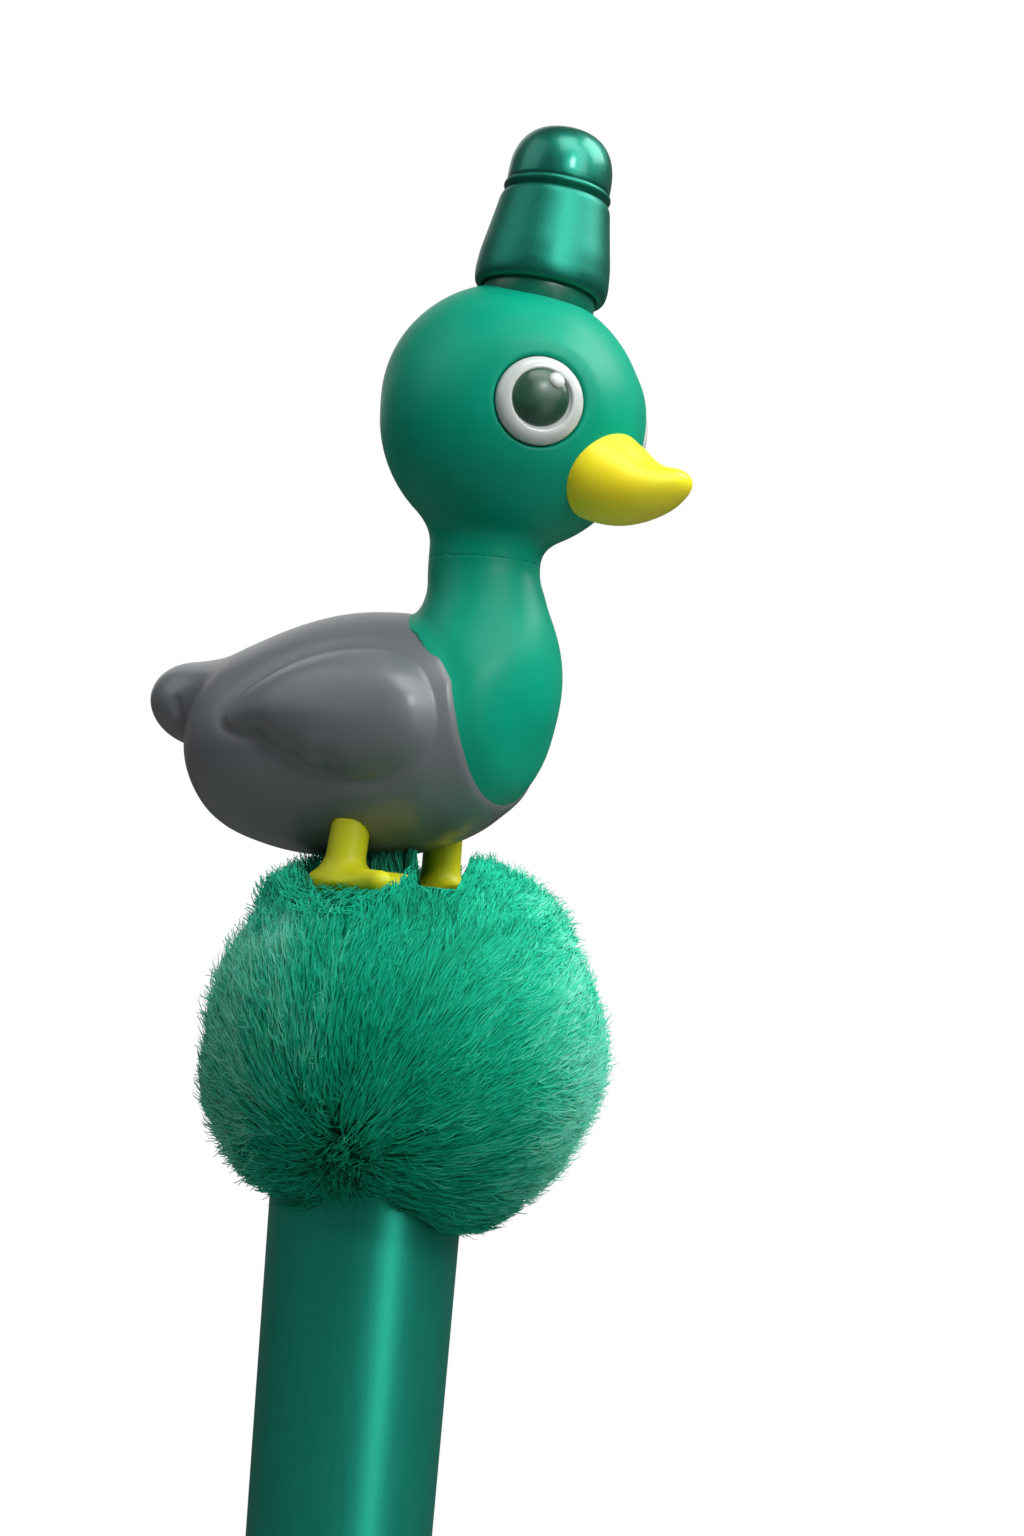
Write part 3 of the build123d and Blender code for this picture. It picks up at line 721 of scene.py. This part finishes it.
def head_form(x, y, z):
    """The head, with sunk eye sockets, soft brows and a short neck that meets the duck's neck."""
    px, py, pz = x - HEAD[0], y - HEAD[1], z - HEAD[2]
    far = np.sqrt(px * px + py * py + pz * pz + 1e-9)
    crown = (-0.66 * px + 0.75 * pz) / far
    form = far - HEAD_R - 0.42 * smooth(0.55, 0.97, crown)
    stub = np.maximum(np.hypot(x - NECK_X, y) - NECK_R, z - 166)
    form = join(form, stub, 1.2)
    for side in (-1, 1):
        turning, origin = eye_place(side)
        ex, ey, ez = x - origin[0], y - origin[1], z - origin[2]
        right = ex * turning[0, 0] + ey * turning[1, 0] + ez * turning[2, 0]
        up = ex * turning[0, 1] + ey * turning[1, 1] + ez * turning[2, 1]
        out = ex * turning[0, 2] + ey * turning[1, 2] + ez * turning[2, 2]
        ring = np.hypot(right, up)
        brow = smooth(-0.3, 1.0, (0.55 * np.sign(-side) * right + 0.83 * up) / (ring + 1e-6))
        rim = (0.03 + 0.15 * brow) * np.exp(-((ring - EYE_R - 1.1) / 0.8) ** 2)
        form = form - np.where(out > -1, rim, 0)
        socket = np.maximum(ring - EYE_R - 0.06, 0.2 - out)
        form = -join(-form, socket, 0.35)
    form = np.maximum(form, NECK_SEAM_Z - z)
    inner = np.maximum(far - HEAD_INNER_R, HEAD_FLOOR_Z - z)
    form = np.maximum(form, -inner)
    from_axis = np.hypot(x - NECK_X, y)
    bush = np.maximum(from_axis - BUSH_R, np.maximum(z - HEAD_FLOOR_Z - 1, NECK_TOP_Z - z))
    pin = np.maximum(from_axis - 1.6, z - NECK_TOP_Z - 0.5)
    return np.maximum(np.maximum(form, -bush), -pin)


form_piece("duck_head", head_form, (-3.2, -9.4, 159.5), (15.2, 9.4, 178.6), 0.17,
           VINYL_GREEN, "head", ["head_shell"])

for name, side in (("right", -1), ("left", 1)):
    place = eye_place(side)
    ring_line = [(0.0, -0.9), (EYE_R - 0.1, -0.9), (EYE_R, -0.8)]
    ring_line += arc((EYE_R - 0.78, 0.62), (0.78, 0.74), 0, 90, 18)
    ring_line += [(1.96, 1.34), (1.90, 1.28), (1.86, 1.18), (0.0, 1.15)]
    lathe(f"eye_ring_{name}", ring_line, EYE_WHITE, "head", [f"eye_white_{name}"], place, 96)
    pupil_line = [(0.0, 0.9), (PUPIL_R - 0.06, 0.95)]
    pupil_line += arc((0, 1.05), (PUPIL_R, 0.78), 0, 90, 16)[:-1] + [(0.0, 1.83)]
    turning, origin = place
    shift = origin + turning @ np.array([side * 0.10, 0.14, 0])
    lathe(f"eye_pupil_{name}", pupil_line, EYE_GREEN, "head", [f"pupil_{name}"], (turning, shift), 96)
    glint_line = [(0.0, -0.3), (0.46, -0.25)] + arc((0, 0), (0.54, 0.30), 0, 90, 10)[:-1] + [(0.0, 0.30)]
    spot = np.array([-side * 0.80, 1.22])
    tilt = math.radians(29)
    out = np.array([*spot / np.linalg.norm(spot) * math.sin(tilt), math.cos(tilt)])
    flat = np.array([spot[1], -spot[0], 0]) / np.linalg.norm(spot)
    lean = np.stack([flat, np.cross(out, flat), out], 1)
    spot = origin + turning @ np.array([*spot, 1.52])
    glint_place = (turning @ lean, spot)
    lathe(f"eye_glint_{name}", glint_line, EYE_WHITE, "head", [f"glint_{name}"], glint_place, 48)

# ---------------------------------------------------------------- beak
BEAK = np.array([
    # x, z, half height, half width, forward lean in degrees
    (11.0, 166.2, 2.80, 3.5, 20),
    (12.6, 165.7, 3.00, 3.85, 22),
    (14.3, 165.0, 2.65, 3.45, 18),
    (16.1, 164.72, 1.86, 2.75, 4),
    (17.5, 164.95, 1.20, 1.95, -14),
    (18.35, 165.28, 0.72, 1.15, -22),
    (18.74, 165.45, 0.0, 0.0, -26),
])


def beak_piece(sections=60, segments=72):
    """A broad beak with an upturned tip, lofted through oval sections."""
    spans = np.concatenate([[0], np.cumsum(np.hypot(np.diff(BEAK[:, 0]), np.diff(BEAK[:, 1])))])
    at = spans[-1] * np.sin(np.linspace(0, math.pi / 2, sections))
    x, z, lean = (along(spans, BEAK[:, column], at) for column in (0, 1, 4))
    tall, wide = (np.sqrt(np.maximum(along(spans, BEAK[:, column] ** 2, at), 0)) for column in (2, 3))
    lean = np.radians(lean)
    turn = np.arange(segments) * 2 * math.pi / segments
    points = []
    for k in range(len(at) - 1):
        side = wide[k] * np.cos(turn)
        up = tall[k] * np.sin(turn)
        points.append(np.stack([x[k] + up * np.sin(lean[k]), side, z[k] + up * np.cos(lean[k])], 1))
    points = np.concatenate(points + [[[x[0], 0, z[0]], [x[-1], 0, z[-1]]]])
    faces = tube_faces(sections - 1, segments)
    mesh_piece("duck_beak", points, outward(points, faces), VINYL_YELLOW, "head", ["beak"])


beak_piece()

# ---------------------------------------------------------------- hat
hat_up = HAT_LEAN / np.linalg.norm(HAT_LEAN)
hat_x = np.array([1, 0, -HAT_LEAN[0]])
hat_x = hat_x / np.linalg.norm(hat_x)
HAT_PLACE = (np.stack([hat_x, np.cross(hat_up, hat_x), hat_up], 1), HAT_BASE)

lathe(
    "hat_neck",
    rounded([
        (1.2, -2.4, 0),
        (3.62, -2.4, 0),
        (3.62, 0.02, 0.2),
        (3.34, 0.40, 0.15),
        (3.34, 2.6, 0.1),
        (1.2, 2.6, 0),
    ]),
    COLLAR_GREEN, "head", ["hat_collar"], HAT_PLACE,
)
CUP_Z = [1.1, 2.2, 3.6, 5.0, 5.9]
CUP_R = [4.30, 4.21, 3.97, 3.73, 3.58]
cup_line = [(0.0, 2.8), (3.40, 2.8), (3.42, 0.6), (3.46, 0.28), (3.56, 0.10), (3.72, 0.0), (3.92, -0.01)]
cup_line += [(4.08, 0.08), (4.20, 0.26), (4.265, 0.5), (4.295, 0.78)]
cup_line += [(float(along(CUP_Z, CUP_R, z)), z) for z in np.linspace(1.1, 5.85, 24)]
cup_line += [(3.54, 6.05), (3.46, 6.22), (3.36, 6.34), (3.22, 6.42), (3.0, 6.45), (0.0, 6.45)]
lathe("hat_cup_skin", cup_line, HAT_GREEN, "hat", ["hat_cup"], HAT_PLACE)
band_line = [(0.0, 6.3), (3.22, 6.3), (3.24, 6.55)]
band_line += arc((3.22, 6.83), (0.25, 0.26), -70, 80, 12) + [(3.2, 7.12), (0.0, 7.12)]
lathe("hat_bead", band_line, HAT_GREEN, "hat", ["hat_band"], HAT_PLACE)
dome_line = [(0.0, 7.0), (3.22, 7.0), (3.30, 7.10), (3.34, 7.3)]
dome_line += arc((0, 7.7), (3.34, 3.35), 0, 90, 24, (0.72, 0.86))[:-1] + [(0.0, 11.05)]
lathe("hat_dome_skin", dome_line, DOME_GREEN, "hat", ["hat_dome"], HAT_PLACE)

# ---------------------------------------------------------------- fur
SKIN_R = 11.0
TIP_R = 12.72
GATHER = np.array([0.04, -0.76, -0.65])  # the way from the middle to where the pile is parted
STRANDS = 70000
STRANDS_TO_A_PIECE = 9000
TUFTS = 1300
STRAND_AT = (0.0, 0.3, 0.6, 0.84, 1.0)
STRAND_R = np.array([0.070, 0.068, 0.060, 0.044, 0.010])
# Painted shade and light along a fibre, in tone steps: darker at the roots down in the pile, paler at the tips.
STRAND_PAINTED_LIGHT = np.array([-0.8, -0.3, 0.2, 0.7])
SIDE_X, SIDE_Y = 0.891, 0.454  # the way across the ball as the camera sees it, from its left side to its right side; painted light makes both sides paler
FUR_TOP_Z = PERCH_Z + 3.6
BARREL_CLEAR_R = 6.35
BARREL_CLEAR_Z = 120.9
HEM_Z = 119.6
HEM_DROP = 2.5


def skin_form(x, y, z):
    """The knitted backing of the fur, round the stuffing and closed round the barrel's top."""
    form = ellipsoid(x, y, z, POM, (SKIN_R, SKIN_R, SKIN_R * POM_SQUAT))
    form = -join(-form, PERCH_Z - 0.5 - z, 0.8)
    from_axis = np.hypot(x, y)
    form = -join(-form, np.maximum(from_axis - 6.3, z - 120.6), 0.6)
    inner = np.sqrt((x - POM[0] / 2) ** 2 + y**2 + (z - POM[2]) ** 2) - STUFFING_R - 0.1
    stem = np.maximum(from_axis - STEM_ROOM_R, np.abs(z - 128.5) - 11)
    return np.maximum(np.maximum(form, -inner), -stem)


skin = form_piece("fur_backing", skin_form, (-10.0, -11.6, 117.0), (13.6, 11.6, 139.2), 0.22,
                  FUR_SKIN, "upper", ["pompom_fur"])


def unit(vectors):
    return vectors / np.maximum(np.linalg.norm(vectors, axis=1, keepdims=True), 1e-9)


def lobes(directions, rng, count, sharpness):
    """A smooth random value from 0 to 1 over a sphere."""
    poles = unit(rng.normal(size=(count, 3)))
    signs = rng.uniform(-1, 1, count)
    value = np.tanh((np.exp(sharpness * (directions @ poles.T - 1)) * signs).sum(1) * 2.2)
    return 0.5 + 0.5 * value


def strand_lines(rng):
    """The points along each strand, how light it is (a random tone with painted light and shade), the way it grows
    and how thick it is.
    """
    index = np.arange(STRANDS) + 0.5
    height = 1 - 2 * index / STRANDS
    around = index * math.pi * (3 - math.sqrt(5))
    flat = np.sqrt(1 - height**2)
    even = np.stack([flat * np.cos(around), flat * np.sin(around), height], 1)
    way = unit(even + rng.normal(0, 0.012, (STRANDS, 3)))
    squat = np.array([1, 1, POM_SQUAT])
    root = POM + way * SKIN_R * squat * 0.985
    keep = ~((np.hypot(root[:, 0], root[:, 1]) < 6.0) & (root[:, 2] < 124))
    root[:, 2] = np.minimum(root[:, 2], PERCH_Z - 0.6)
    way, root = way[keep], root[keep]
    count = len(way)

    gather = GATHER / np.linalg.norm(GATHER)
    facing = way @ gather
    away = unit(way * facing[:, None] - gather)
    apart = np.arccos(np.clip(facing, -1, 1))
    upper = smooth(0.45, 0.85, way[:, 2])
    lay = (0.5 + 4.6 * smooth(0.0, 0.35, apart)) * (1 - 0.62 * smooth(0.9, 2.5, apart)) * (1 - 0.8 * upper)

    tufts = unit(rng.normal(size=(TUFTS, 3)))
    tree = KDTree(TUFTS)
    for number, tuft in enumerate(tufts):
        tree.insert(tuft, number)
    tree.balance()
    nearest = np.array([tree.find(one)[1] for one in way])
    tuft_way = tufts[nearest]
    tuft_lift = rng.normal(0, 0.12, TUFTS)[nearest]
    tuft_turn = rng.normal(0, 1.0, (TUFTS, 3))[nearest]
    tuft_tone = rng.normal(0, 1.0, TUFTS)[nearest]

    loose = rng.random(count) < 0.26
    lay = lay * np.where(loose, rng.uniform(0.1, 0.6, count), rng.uniform(0.7, 1.15, count))
    reach = TIP_R + tuft_lift + rng.normal(0, 0.10, count) + 0.75 * upper
    reach = reach + np.where(loose, rng.uniform(0.0, 0.60, count), 0)
    sideways = way[:, 0] * SIDE_X + way[:, 1] * SIDE_Y
    reach -= 0.6 * smooth(0.1, 0.5, sideways) * smooth(0.0, -0.5, way[:, 2])
    reach -= 0.35 * smooth(0.3, 0.7, -sideways) * smooth(0.4, 0.0, way[:, 2]) * smooth(-0.45, -0.1, way[:, 2])
    behind_legs = smooth(0.12, 0.38, way[:, 1]) * smooth(0.6, 0.8, way[:, 2]) * smooth(0.34, 0.12, sideways)
    reach += 1.2 * behind_legs
    reach += (0.45 + 0.4 * smooth(0.1, 0.5, -sideways)) * smooth(0.55, 0.75, way[:, 2])
    pull = (np.where(loose, 0.1, rng.uniform(0.4, 0.8, count)) * (1 - 0.85 * upper))[:, None]
    aim = unit(way * (1 - pull) + tuft_way * pull + away * (lay / TIP_R)[:, None])
    aim = unit(aim + tuft_turn * 0.030 + rng.normal(0, 0.012, (count, 3)))
    tip = POM + aim * reach[:, None] * squat
    tip[:, 2] = np.minimum(tip[:, 2], FUR_TOP_Z - 0.4 * rng.random(count))
    bend = root + way * (reach - SKIN_R)[:, None] * 1.15 + away * (lay * 0.30)[:, None]
    sway = rng.normal(0, 0.09, (count, 3))
    lines = []
    for t in STRAND_AT:
        point = root * (1 - t) ** 2 + bend * 2 * t * (1 - t) + tip * t * t
        lines.append(point + sway * math.sin(t * 5.2))
    lines = np.stack(lines, 1)

    # clear of the barrel, and pressed down round the feet
    from_axis = np.hypot(lines[..., 0], lines[..., 1])
    too_near = (from_axis < BARREL_CLEAR_R) & (lines[..., 2] < BARREL_CLEAR_Z)
    push = np.where(too_near, BARREL_CLEAR_R / np.maximum(from_axis, 0.1), 1)
    lines[..., 0] *= push
    lines[..., 1] *= push
    for leg_x, leg_y, sunk in ((*LEG_RIGHT, -0.15), (*LEG_LEFT, 0.35)):
        ahead, aside = lines[..., 0] - leg_x - 0.9, lines[..., 1] - leg_y
        near = (np.abs(ahead / 3.9) ** 3 + np.abs(aside / 2.1) ** 3) ** (1 / 3)
        lines[..., 2] = np.minimum(lines[..., 2], PERCH_Z + sunk + 9 * np.maximum(near - 1.0, 0))
    # parted before the far leg, and combed down before the near foot
    across = lines[..., 0] * SIDE_X + lines[..., 1] * SIDE_Y
    part = np.abs((across - 3.2) / 1.5) ** 3 + np.maximum(lines[..., 1] - 4.5, 0)
    lines[..., 2] = np.minimum(lines[..., 2], PERCH_Z + 0.4 + 3 * np.maximum(part - 0.6, 0))
    ahead, aside = lines[..., 0] - LEG_RIGHT[0] - 1.7, LEG_RIGHT[1] - 0.9 - lines[..., 1]
    span = np.exp(-np.abs(ahead / 4.6) ** 4)
    wisp = 1.1 * (rng.random(count) ** 4)[:, None]
    slope = PERCH_Z + 2.2 - (1.85 + 0.62 * np.clip(aside, 0, 3.2)) * span + wisp
    lines[..., 2] = np.where(aside > 0, np.minimum(lines[..., 2], slope), lines[..., 2])

    # a ragged hem, which hangs lower beside the barrel than on it
    ragged = 0.9 * (rng.random(count) - 0.5) + 0.3 * tuft_tone
    hem = HEM_Z - HEM_DROP * smooth(2.5, 8.0, across) + ragged[:, None]
    lines[..., 2] = np.maximum(lines[..., 2], hem)

    # How light each strand is: random by tuft and strand, plus painted shade round the parting and down the middle
    # as seen, and painted light at the left and right sides and underneath.
    tone = 3.2 + 0.36 * tuft_tone + rng.normal(0, 0.3, count) + 0.4 * loose
    tone += 1.3 * (lobes(way, rng, 40, 14) - 0.5)
    tone -= 0.4 * np.exp(-(apart / 0.28) ** 2)
    tone += 1.7 * smooth(0.35, 0.90, np.abs(sideways)) - 1.1 * np.exp(-((sideways + 0.05) / 0.32) ** 2)
    tone += 1.0 * smooth(-0.15, -0.75, way[:, 2])
    return lines, tone, way, np.where(loose, 0.55, 1.05)


def soften(piece, outwards):
    """Turns the fibres' shading normals most of the way outwards, so that the pile shades as one surface."""
    mesh = piece.data
    own = np.zeros(len(mesh.vertices) * 3, np.float32)
    mesh.vertices.foreach_get("normal", own)
    mesh.normals_split_custom_set_from_vertices(unit(own.reshape(-1, 3) * 0.22 + outwards))


def fur_pieces():
    """The pile as tapered three-sided fibres, in several pieces."""
    rng = np.random.default_rng(SEED)
    lines, tone, way, stout = strand_lines(rng)
    order = rng.permutation(len(lines))
    lines, tone, way, stout = lines[order], tone[order], way[order], stout[order]
    levels = len(STRAND_AT)
    per_strand = (levels - 1) * 3 + 1
    pattern, rise = [], []
    for level in range(levels - 2):
        for side in range(3):
            a, b = level * 3 + side, level * 3 + (side + 1) % 3
            pattern += [(a, b, b + 3), (a, b + 3, a + 3)]
            rise += [level, level]
    last = (levels - 2) * 3
    for side in range(3):
        pattern.append((last + side, last + (side + 1) % 3, per_strand - 1))
        rise.append(levels - 2)
    pattern.append((0, 2, 1))
    rise.append(0)
    pattern, rise = np.array(pattern), np.array(rise)
    # painted shade at the fibres' roots and painted light at their tips
    painted_light = STRAND_PAINTED_LIGHT[rise]
    for start in range(0, len(lines), STRANDS_TO_A_PIECE):
        here = slice(start, start + STRANDS_TO_A_PIECE)
        part = lines[here]
        count = len(part)
        along_strand = unit(part[:, -1] - part[:, 0])
        across = unit(np.cross(along_strand, rng.normal(size=(count, 3))))
        other = np.cross(along_strand, across)
        width = (rng.uniform(0.8, 1.2, count) * stout[here])[:, None]
        points = np.zeros((count, per_strand, 3))
        for level in range(levels - 1):
            for side in range(3):
                turn = side * 2 * math.pi / 3
                offset = across * math.cos(turn) + other * math.sin(turn)
                points[:, level * 3 + side] = part[:, level] + offset * STRAND_R[level] * width
        points[:, -1] = part[:, -1]
        faces = pattern[None] + (np.arange(count) * per_strand)[:, None, None]
        tones = tone[here, None] + painted_light[None]
        tones = np.clip(np.round(tones), 0, len(FUR) - 1).ravel()
        name = f"fur_pile_{start // STRANDS_TO_A_PIECE + 1}"
        piece = mesh_piece(name, points.reshape(-1, 3), faces.reshape(-1, 3), FUR, "upper", tones=tones)
        soften(piece, np.repeat(way[here], per_strand, 0))


fur_pieces()

# ---------------------------------------------------------------- carried-over CAD pieces
CARRIED = {
    "guide_sleeve": NATURAL,
    "cam_sleeve": NATURAL,
    "refill_carrier": NATURAL,
    "refill_tube": REFILL,
    "ink_column": INK,
    "refill_tip": BRASS,
    "writing_ball": STEEL,
    "spring_stop": BRASS,
    "top_plug": GREEN_PLASTIC,
    "stem": STEEL,
    "pompom_stuffing": STUFFING,
    "gather_ring": ELASTIC,
    "foot_plate": GREEN_PLASTIC,
    "neck_pin": NATURAL,
    "head_bush": NATURAL,
}
for node, material in CARRIED.items():
    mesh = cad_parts[node].data
    mesh.materials.clear()
    mesh.materials.append(material)

# ---------------------------------------------------------------- studio
FLOOR_R = 6.0
FLOOR_SOLID_R = 0.25
FLOOR_TONE = 0.24
ROOM_FRONT = 0.16
ROOM_BEHIND = 0.15
VIEW_AZIMUTH = 27.0
VIEW_ELEVATION = -6.0
VIEW_ROLL = 4.45
VIEW_DISTANCE = 0.272
VIEW_AIM_Z = 0.1468
VIEW_AIM_RIGHT = 0.0071
LENS = 100
SENSOR = 36
LIGHT_AIM_Z = 0.150
LIGHTS = [
    # name, azimuth, elevation, distance, width, height, power
    ("strip", 37, 5, 0.50, 0.16, 0.55, 0.36),
    ("key", 52, 34, 0.42, 0.14, 0.28, 0.42),
    ("spot", 27, 29, 0.45, 0.06, 0.07, 0.55),
    ("top", 20, 62, 0.45, 0.25, 0.25, 1.0),
    ("right", 98, 45, 0.45, 0.28, 0.28, 1.6),
    ("fill", -75, 38, 0.50, 0.40, 0.40, 0.5),
    ("back", -165, 28, 0.60, 0.40, 0.40, 0.4),
]


def view_axes():
    """Right, up and back of the camera, before its roll."""
    a, e = math.radians(VIEW_AZIMUTH), math.radians(VIEW_ELEVATION)
    back = Vector((math.sin(a) * math.cos(e), -math.cos(a) * math.cos(e), math.sin(e)))
    right = Vector((math.cos(a), math.sin(a), 0))
    return right, back.cross(right), back


def camera():
    right, up, back = view_axes()
    t = math.radians(VIEW_ROLL)
    tilted_right = right * math.cos(t) + up * math.sin(t)
    tilted_up = up * math.cos(t) - right * math.sin(t)
    place = Vector((0, 0, VIEW_AIM_Z)) + tilted_right * VIEW_AIM_RIGHT + back * VIEW_DISTANCE
    data = bpy.data.cameras.new("camera")
    data.lens = LENS
    data.sensor_width = SENSOR
    data.clip_start = 0.01
    data.clip_end = 50
    thing = bpy.data.objects.new("camera", data)
    axes = Matrix((tilted_right, tilted_up, back)).transposed().to_4x4()
    thing.matrix_world = Matrix.Translation(place) @ axes
    bpy.context.scene.collection.objects.link(thing)
    bpy.context.scene.camera = thing


def floor():
    """A pale floor that turns into the white of the room further out."""
    mesh = bpy.data.meshes.new("floor")
    steps = 64
    turns = [k * math.tau / steps for k in range(steps)]
    ring = [(FLOOR_R * math.cos(turn), FLOOR_R * math.sin(turn), 0) for turn in turns]
    mesh.from_pydata(ring, [], [tuple(range(steps))])
    material = bpy.data.materials.new("floor")
    material.use_nodes = True
    tree = material.node_tree
    surface = tree.nodes["Principled BSDF"]
    surface.inputs["Base Color"].default_value = (FLOOR_TONE, FLOOR_TONE, FLOOR_TONE, 1)
    surface.inputs["Roughness"].default_value = 0.8
    surface.inputs["Specular IOR Level"].default_value = 0.1
    glow = tree.nodes.new("ShaderNodeEmission")
    place = tree.nodes.new("ShaderNodeTexCoord")
    distance = tree.nodes.new("ShaderNodeVectorMath")
    distance.operation = "LENGTH"
    fade = tree.nodes.new("ShaderNodeMapRange")
    fade.inputs["From Min"].default_value = FLOOR_SOLID_R * 0.3
    fade.inputs["From Max"].default_value = FLOOR_SOLID_R
    fade.inputs["To Min"].default_value = 0.35
    fade.inputs["To Max"].default_value = 1.0
    mix = tree.nodes.new("ShaderNodeMixShader")
    path = tree.nodes.new("ShaderNodeLightPath")
    shown = tree.nodes.new("ShaderNodeMath")
    shown.operation = "MULTIPLY"
    tree.links.new(place.outputs["Object"], distance.inputs[0])
    tree.links.new(distance.outputs["Value"], fade.inputs["Value"])
    tree.links.new(fade.outputs["Result"], shown.inputs[0])
    tree.links.new(path.outputs["Is Camera Ray"], shown.inputs[1])
    tree.links.new(shown.outputs["Value"], mix.inputs["Fac"])
    tree.links.new(surface.outputs["BSDF"], mix.inputs[1])
    tree.links.new(glow.outputs["Emission"], mix.inputs[2])
    tree.links.new(mix.outputs["Shader"], tree.nodes["Material Output"].inputs["Surface"])
    mesh.materials.append(material)
    thing = bpy.data.objects.new("floor", mesh)
    bpy.context.scene.collection.objects.link(thing)


def softbox(name, azimuth, elevation, distance, width, height, power):
    """An area light that looks at the duck. Azimuth is measured from the camera's, to the right."""
    a, e = math.radians(VIEW_AZIMUTH + azimuth), math.radians(elevation)
    away = Vector((math.sin(a) * math.cos(e), -math.cos(a) * math.cos(e), math.sin(e)))
    data = bpy.data.lights.new(name, "AREA")
    data.shape = "RECTANGLE"
    data.size = width
    data.size_y = height
    data.energy = power
    thing = bpy.data.objects.new(name, data)
    target = Vector((0, 0, LIGHT_AIM_Z))
    facing = away.to_track_quat("Z", "Y").to_matrix().to_4x4()
    thing.matrix_world = Matrix.Translation(target + away * distance) @ facing
    bpy.context.scene.collection.objects.link(thing)


def room():
    """A white room: what the camera sees is white, and what lights the object is a little dimmer behind it."""
    world = bpy.data.worlds.new("room")
    bpy.context.scene.world = world
    world.use_nodes = True
    tree = world.node_tree
    tree.nodes.clear()
    a = math.radians(VIEW_AZIMUTH)
    place = tree.nodes.new("ShaderNodeTexCoord")
    behind = tree.nodes.new("ShaderNodeVectorMath")
    behind.operation = "DOT_PRODUCT"
    behind.inputs[1].default_value = (-math.sin(a), math.cos(a), 0)
    strength = tree.nodes.new("ShaderNodeMapRange")
    strength.inputs["From Min"].default_value = -0.2
    strength.inputs["From Max"].default_value = 1.0
    strength.inputs["To Min"].default_value = ROOM_FRONT
    strength.inputs["To Max"].default_value = ROOM_BEHIND
    lit = tree.nodes.new("ShaderNodeBackground")
    seen = tree.nodes.new("ShaderNodeBackground")
    seen.inputs["Color"].default_value = (1, 1, 1, 1)
    seen.inputs["Strength"].default_value = 1.0
    path = tree.nodes.new("ShaderNodeLightPath")
    mix = tree.nodes.new("ShaderNodeMixShader")
    out = tree.nodes.new("ShaderNodeOutputWorld")
    tree.links.new(place.outputs["Generated"], behind.inputs[0])
    tree.links.new(behind.outputs["Value"], strength.inputs["Value"])
    tree.links.new(strength.outputs["Result"], lit.inputs["Strength"])
    tree.links.new(path.outputs["Is Camera Ray"], mix.inputs["Fac"])
    tree.links.new(lit.outputs["Background"], mix.inputs[1])
    tree.links.new(seen.outputs["Background"], mix.inputs[2])
    tree.links.new(mix.outputs["Shader"], out.inputs["Surface"])


camera()
floor()
room()
for light in LIGHTS:
    softbox(*light)
bpy.context.scene.view_settings.view_transform = "Standard"
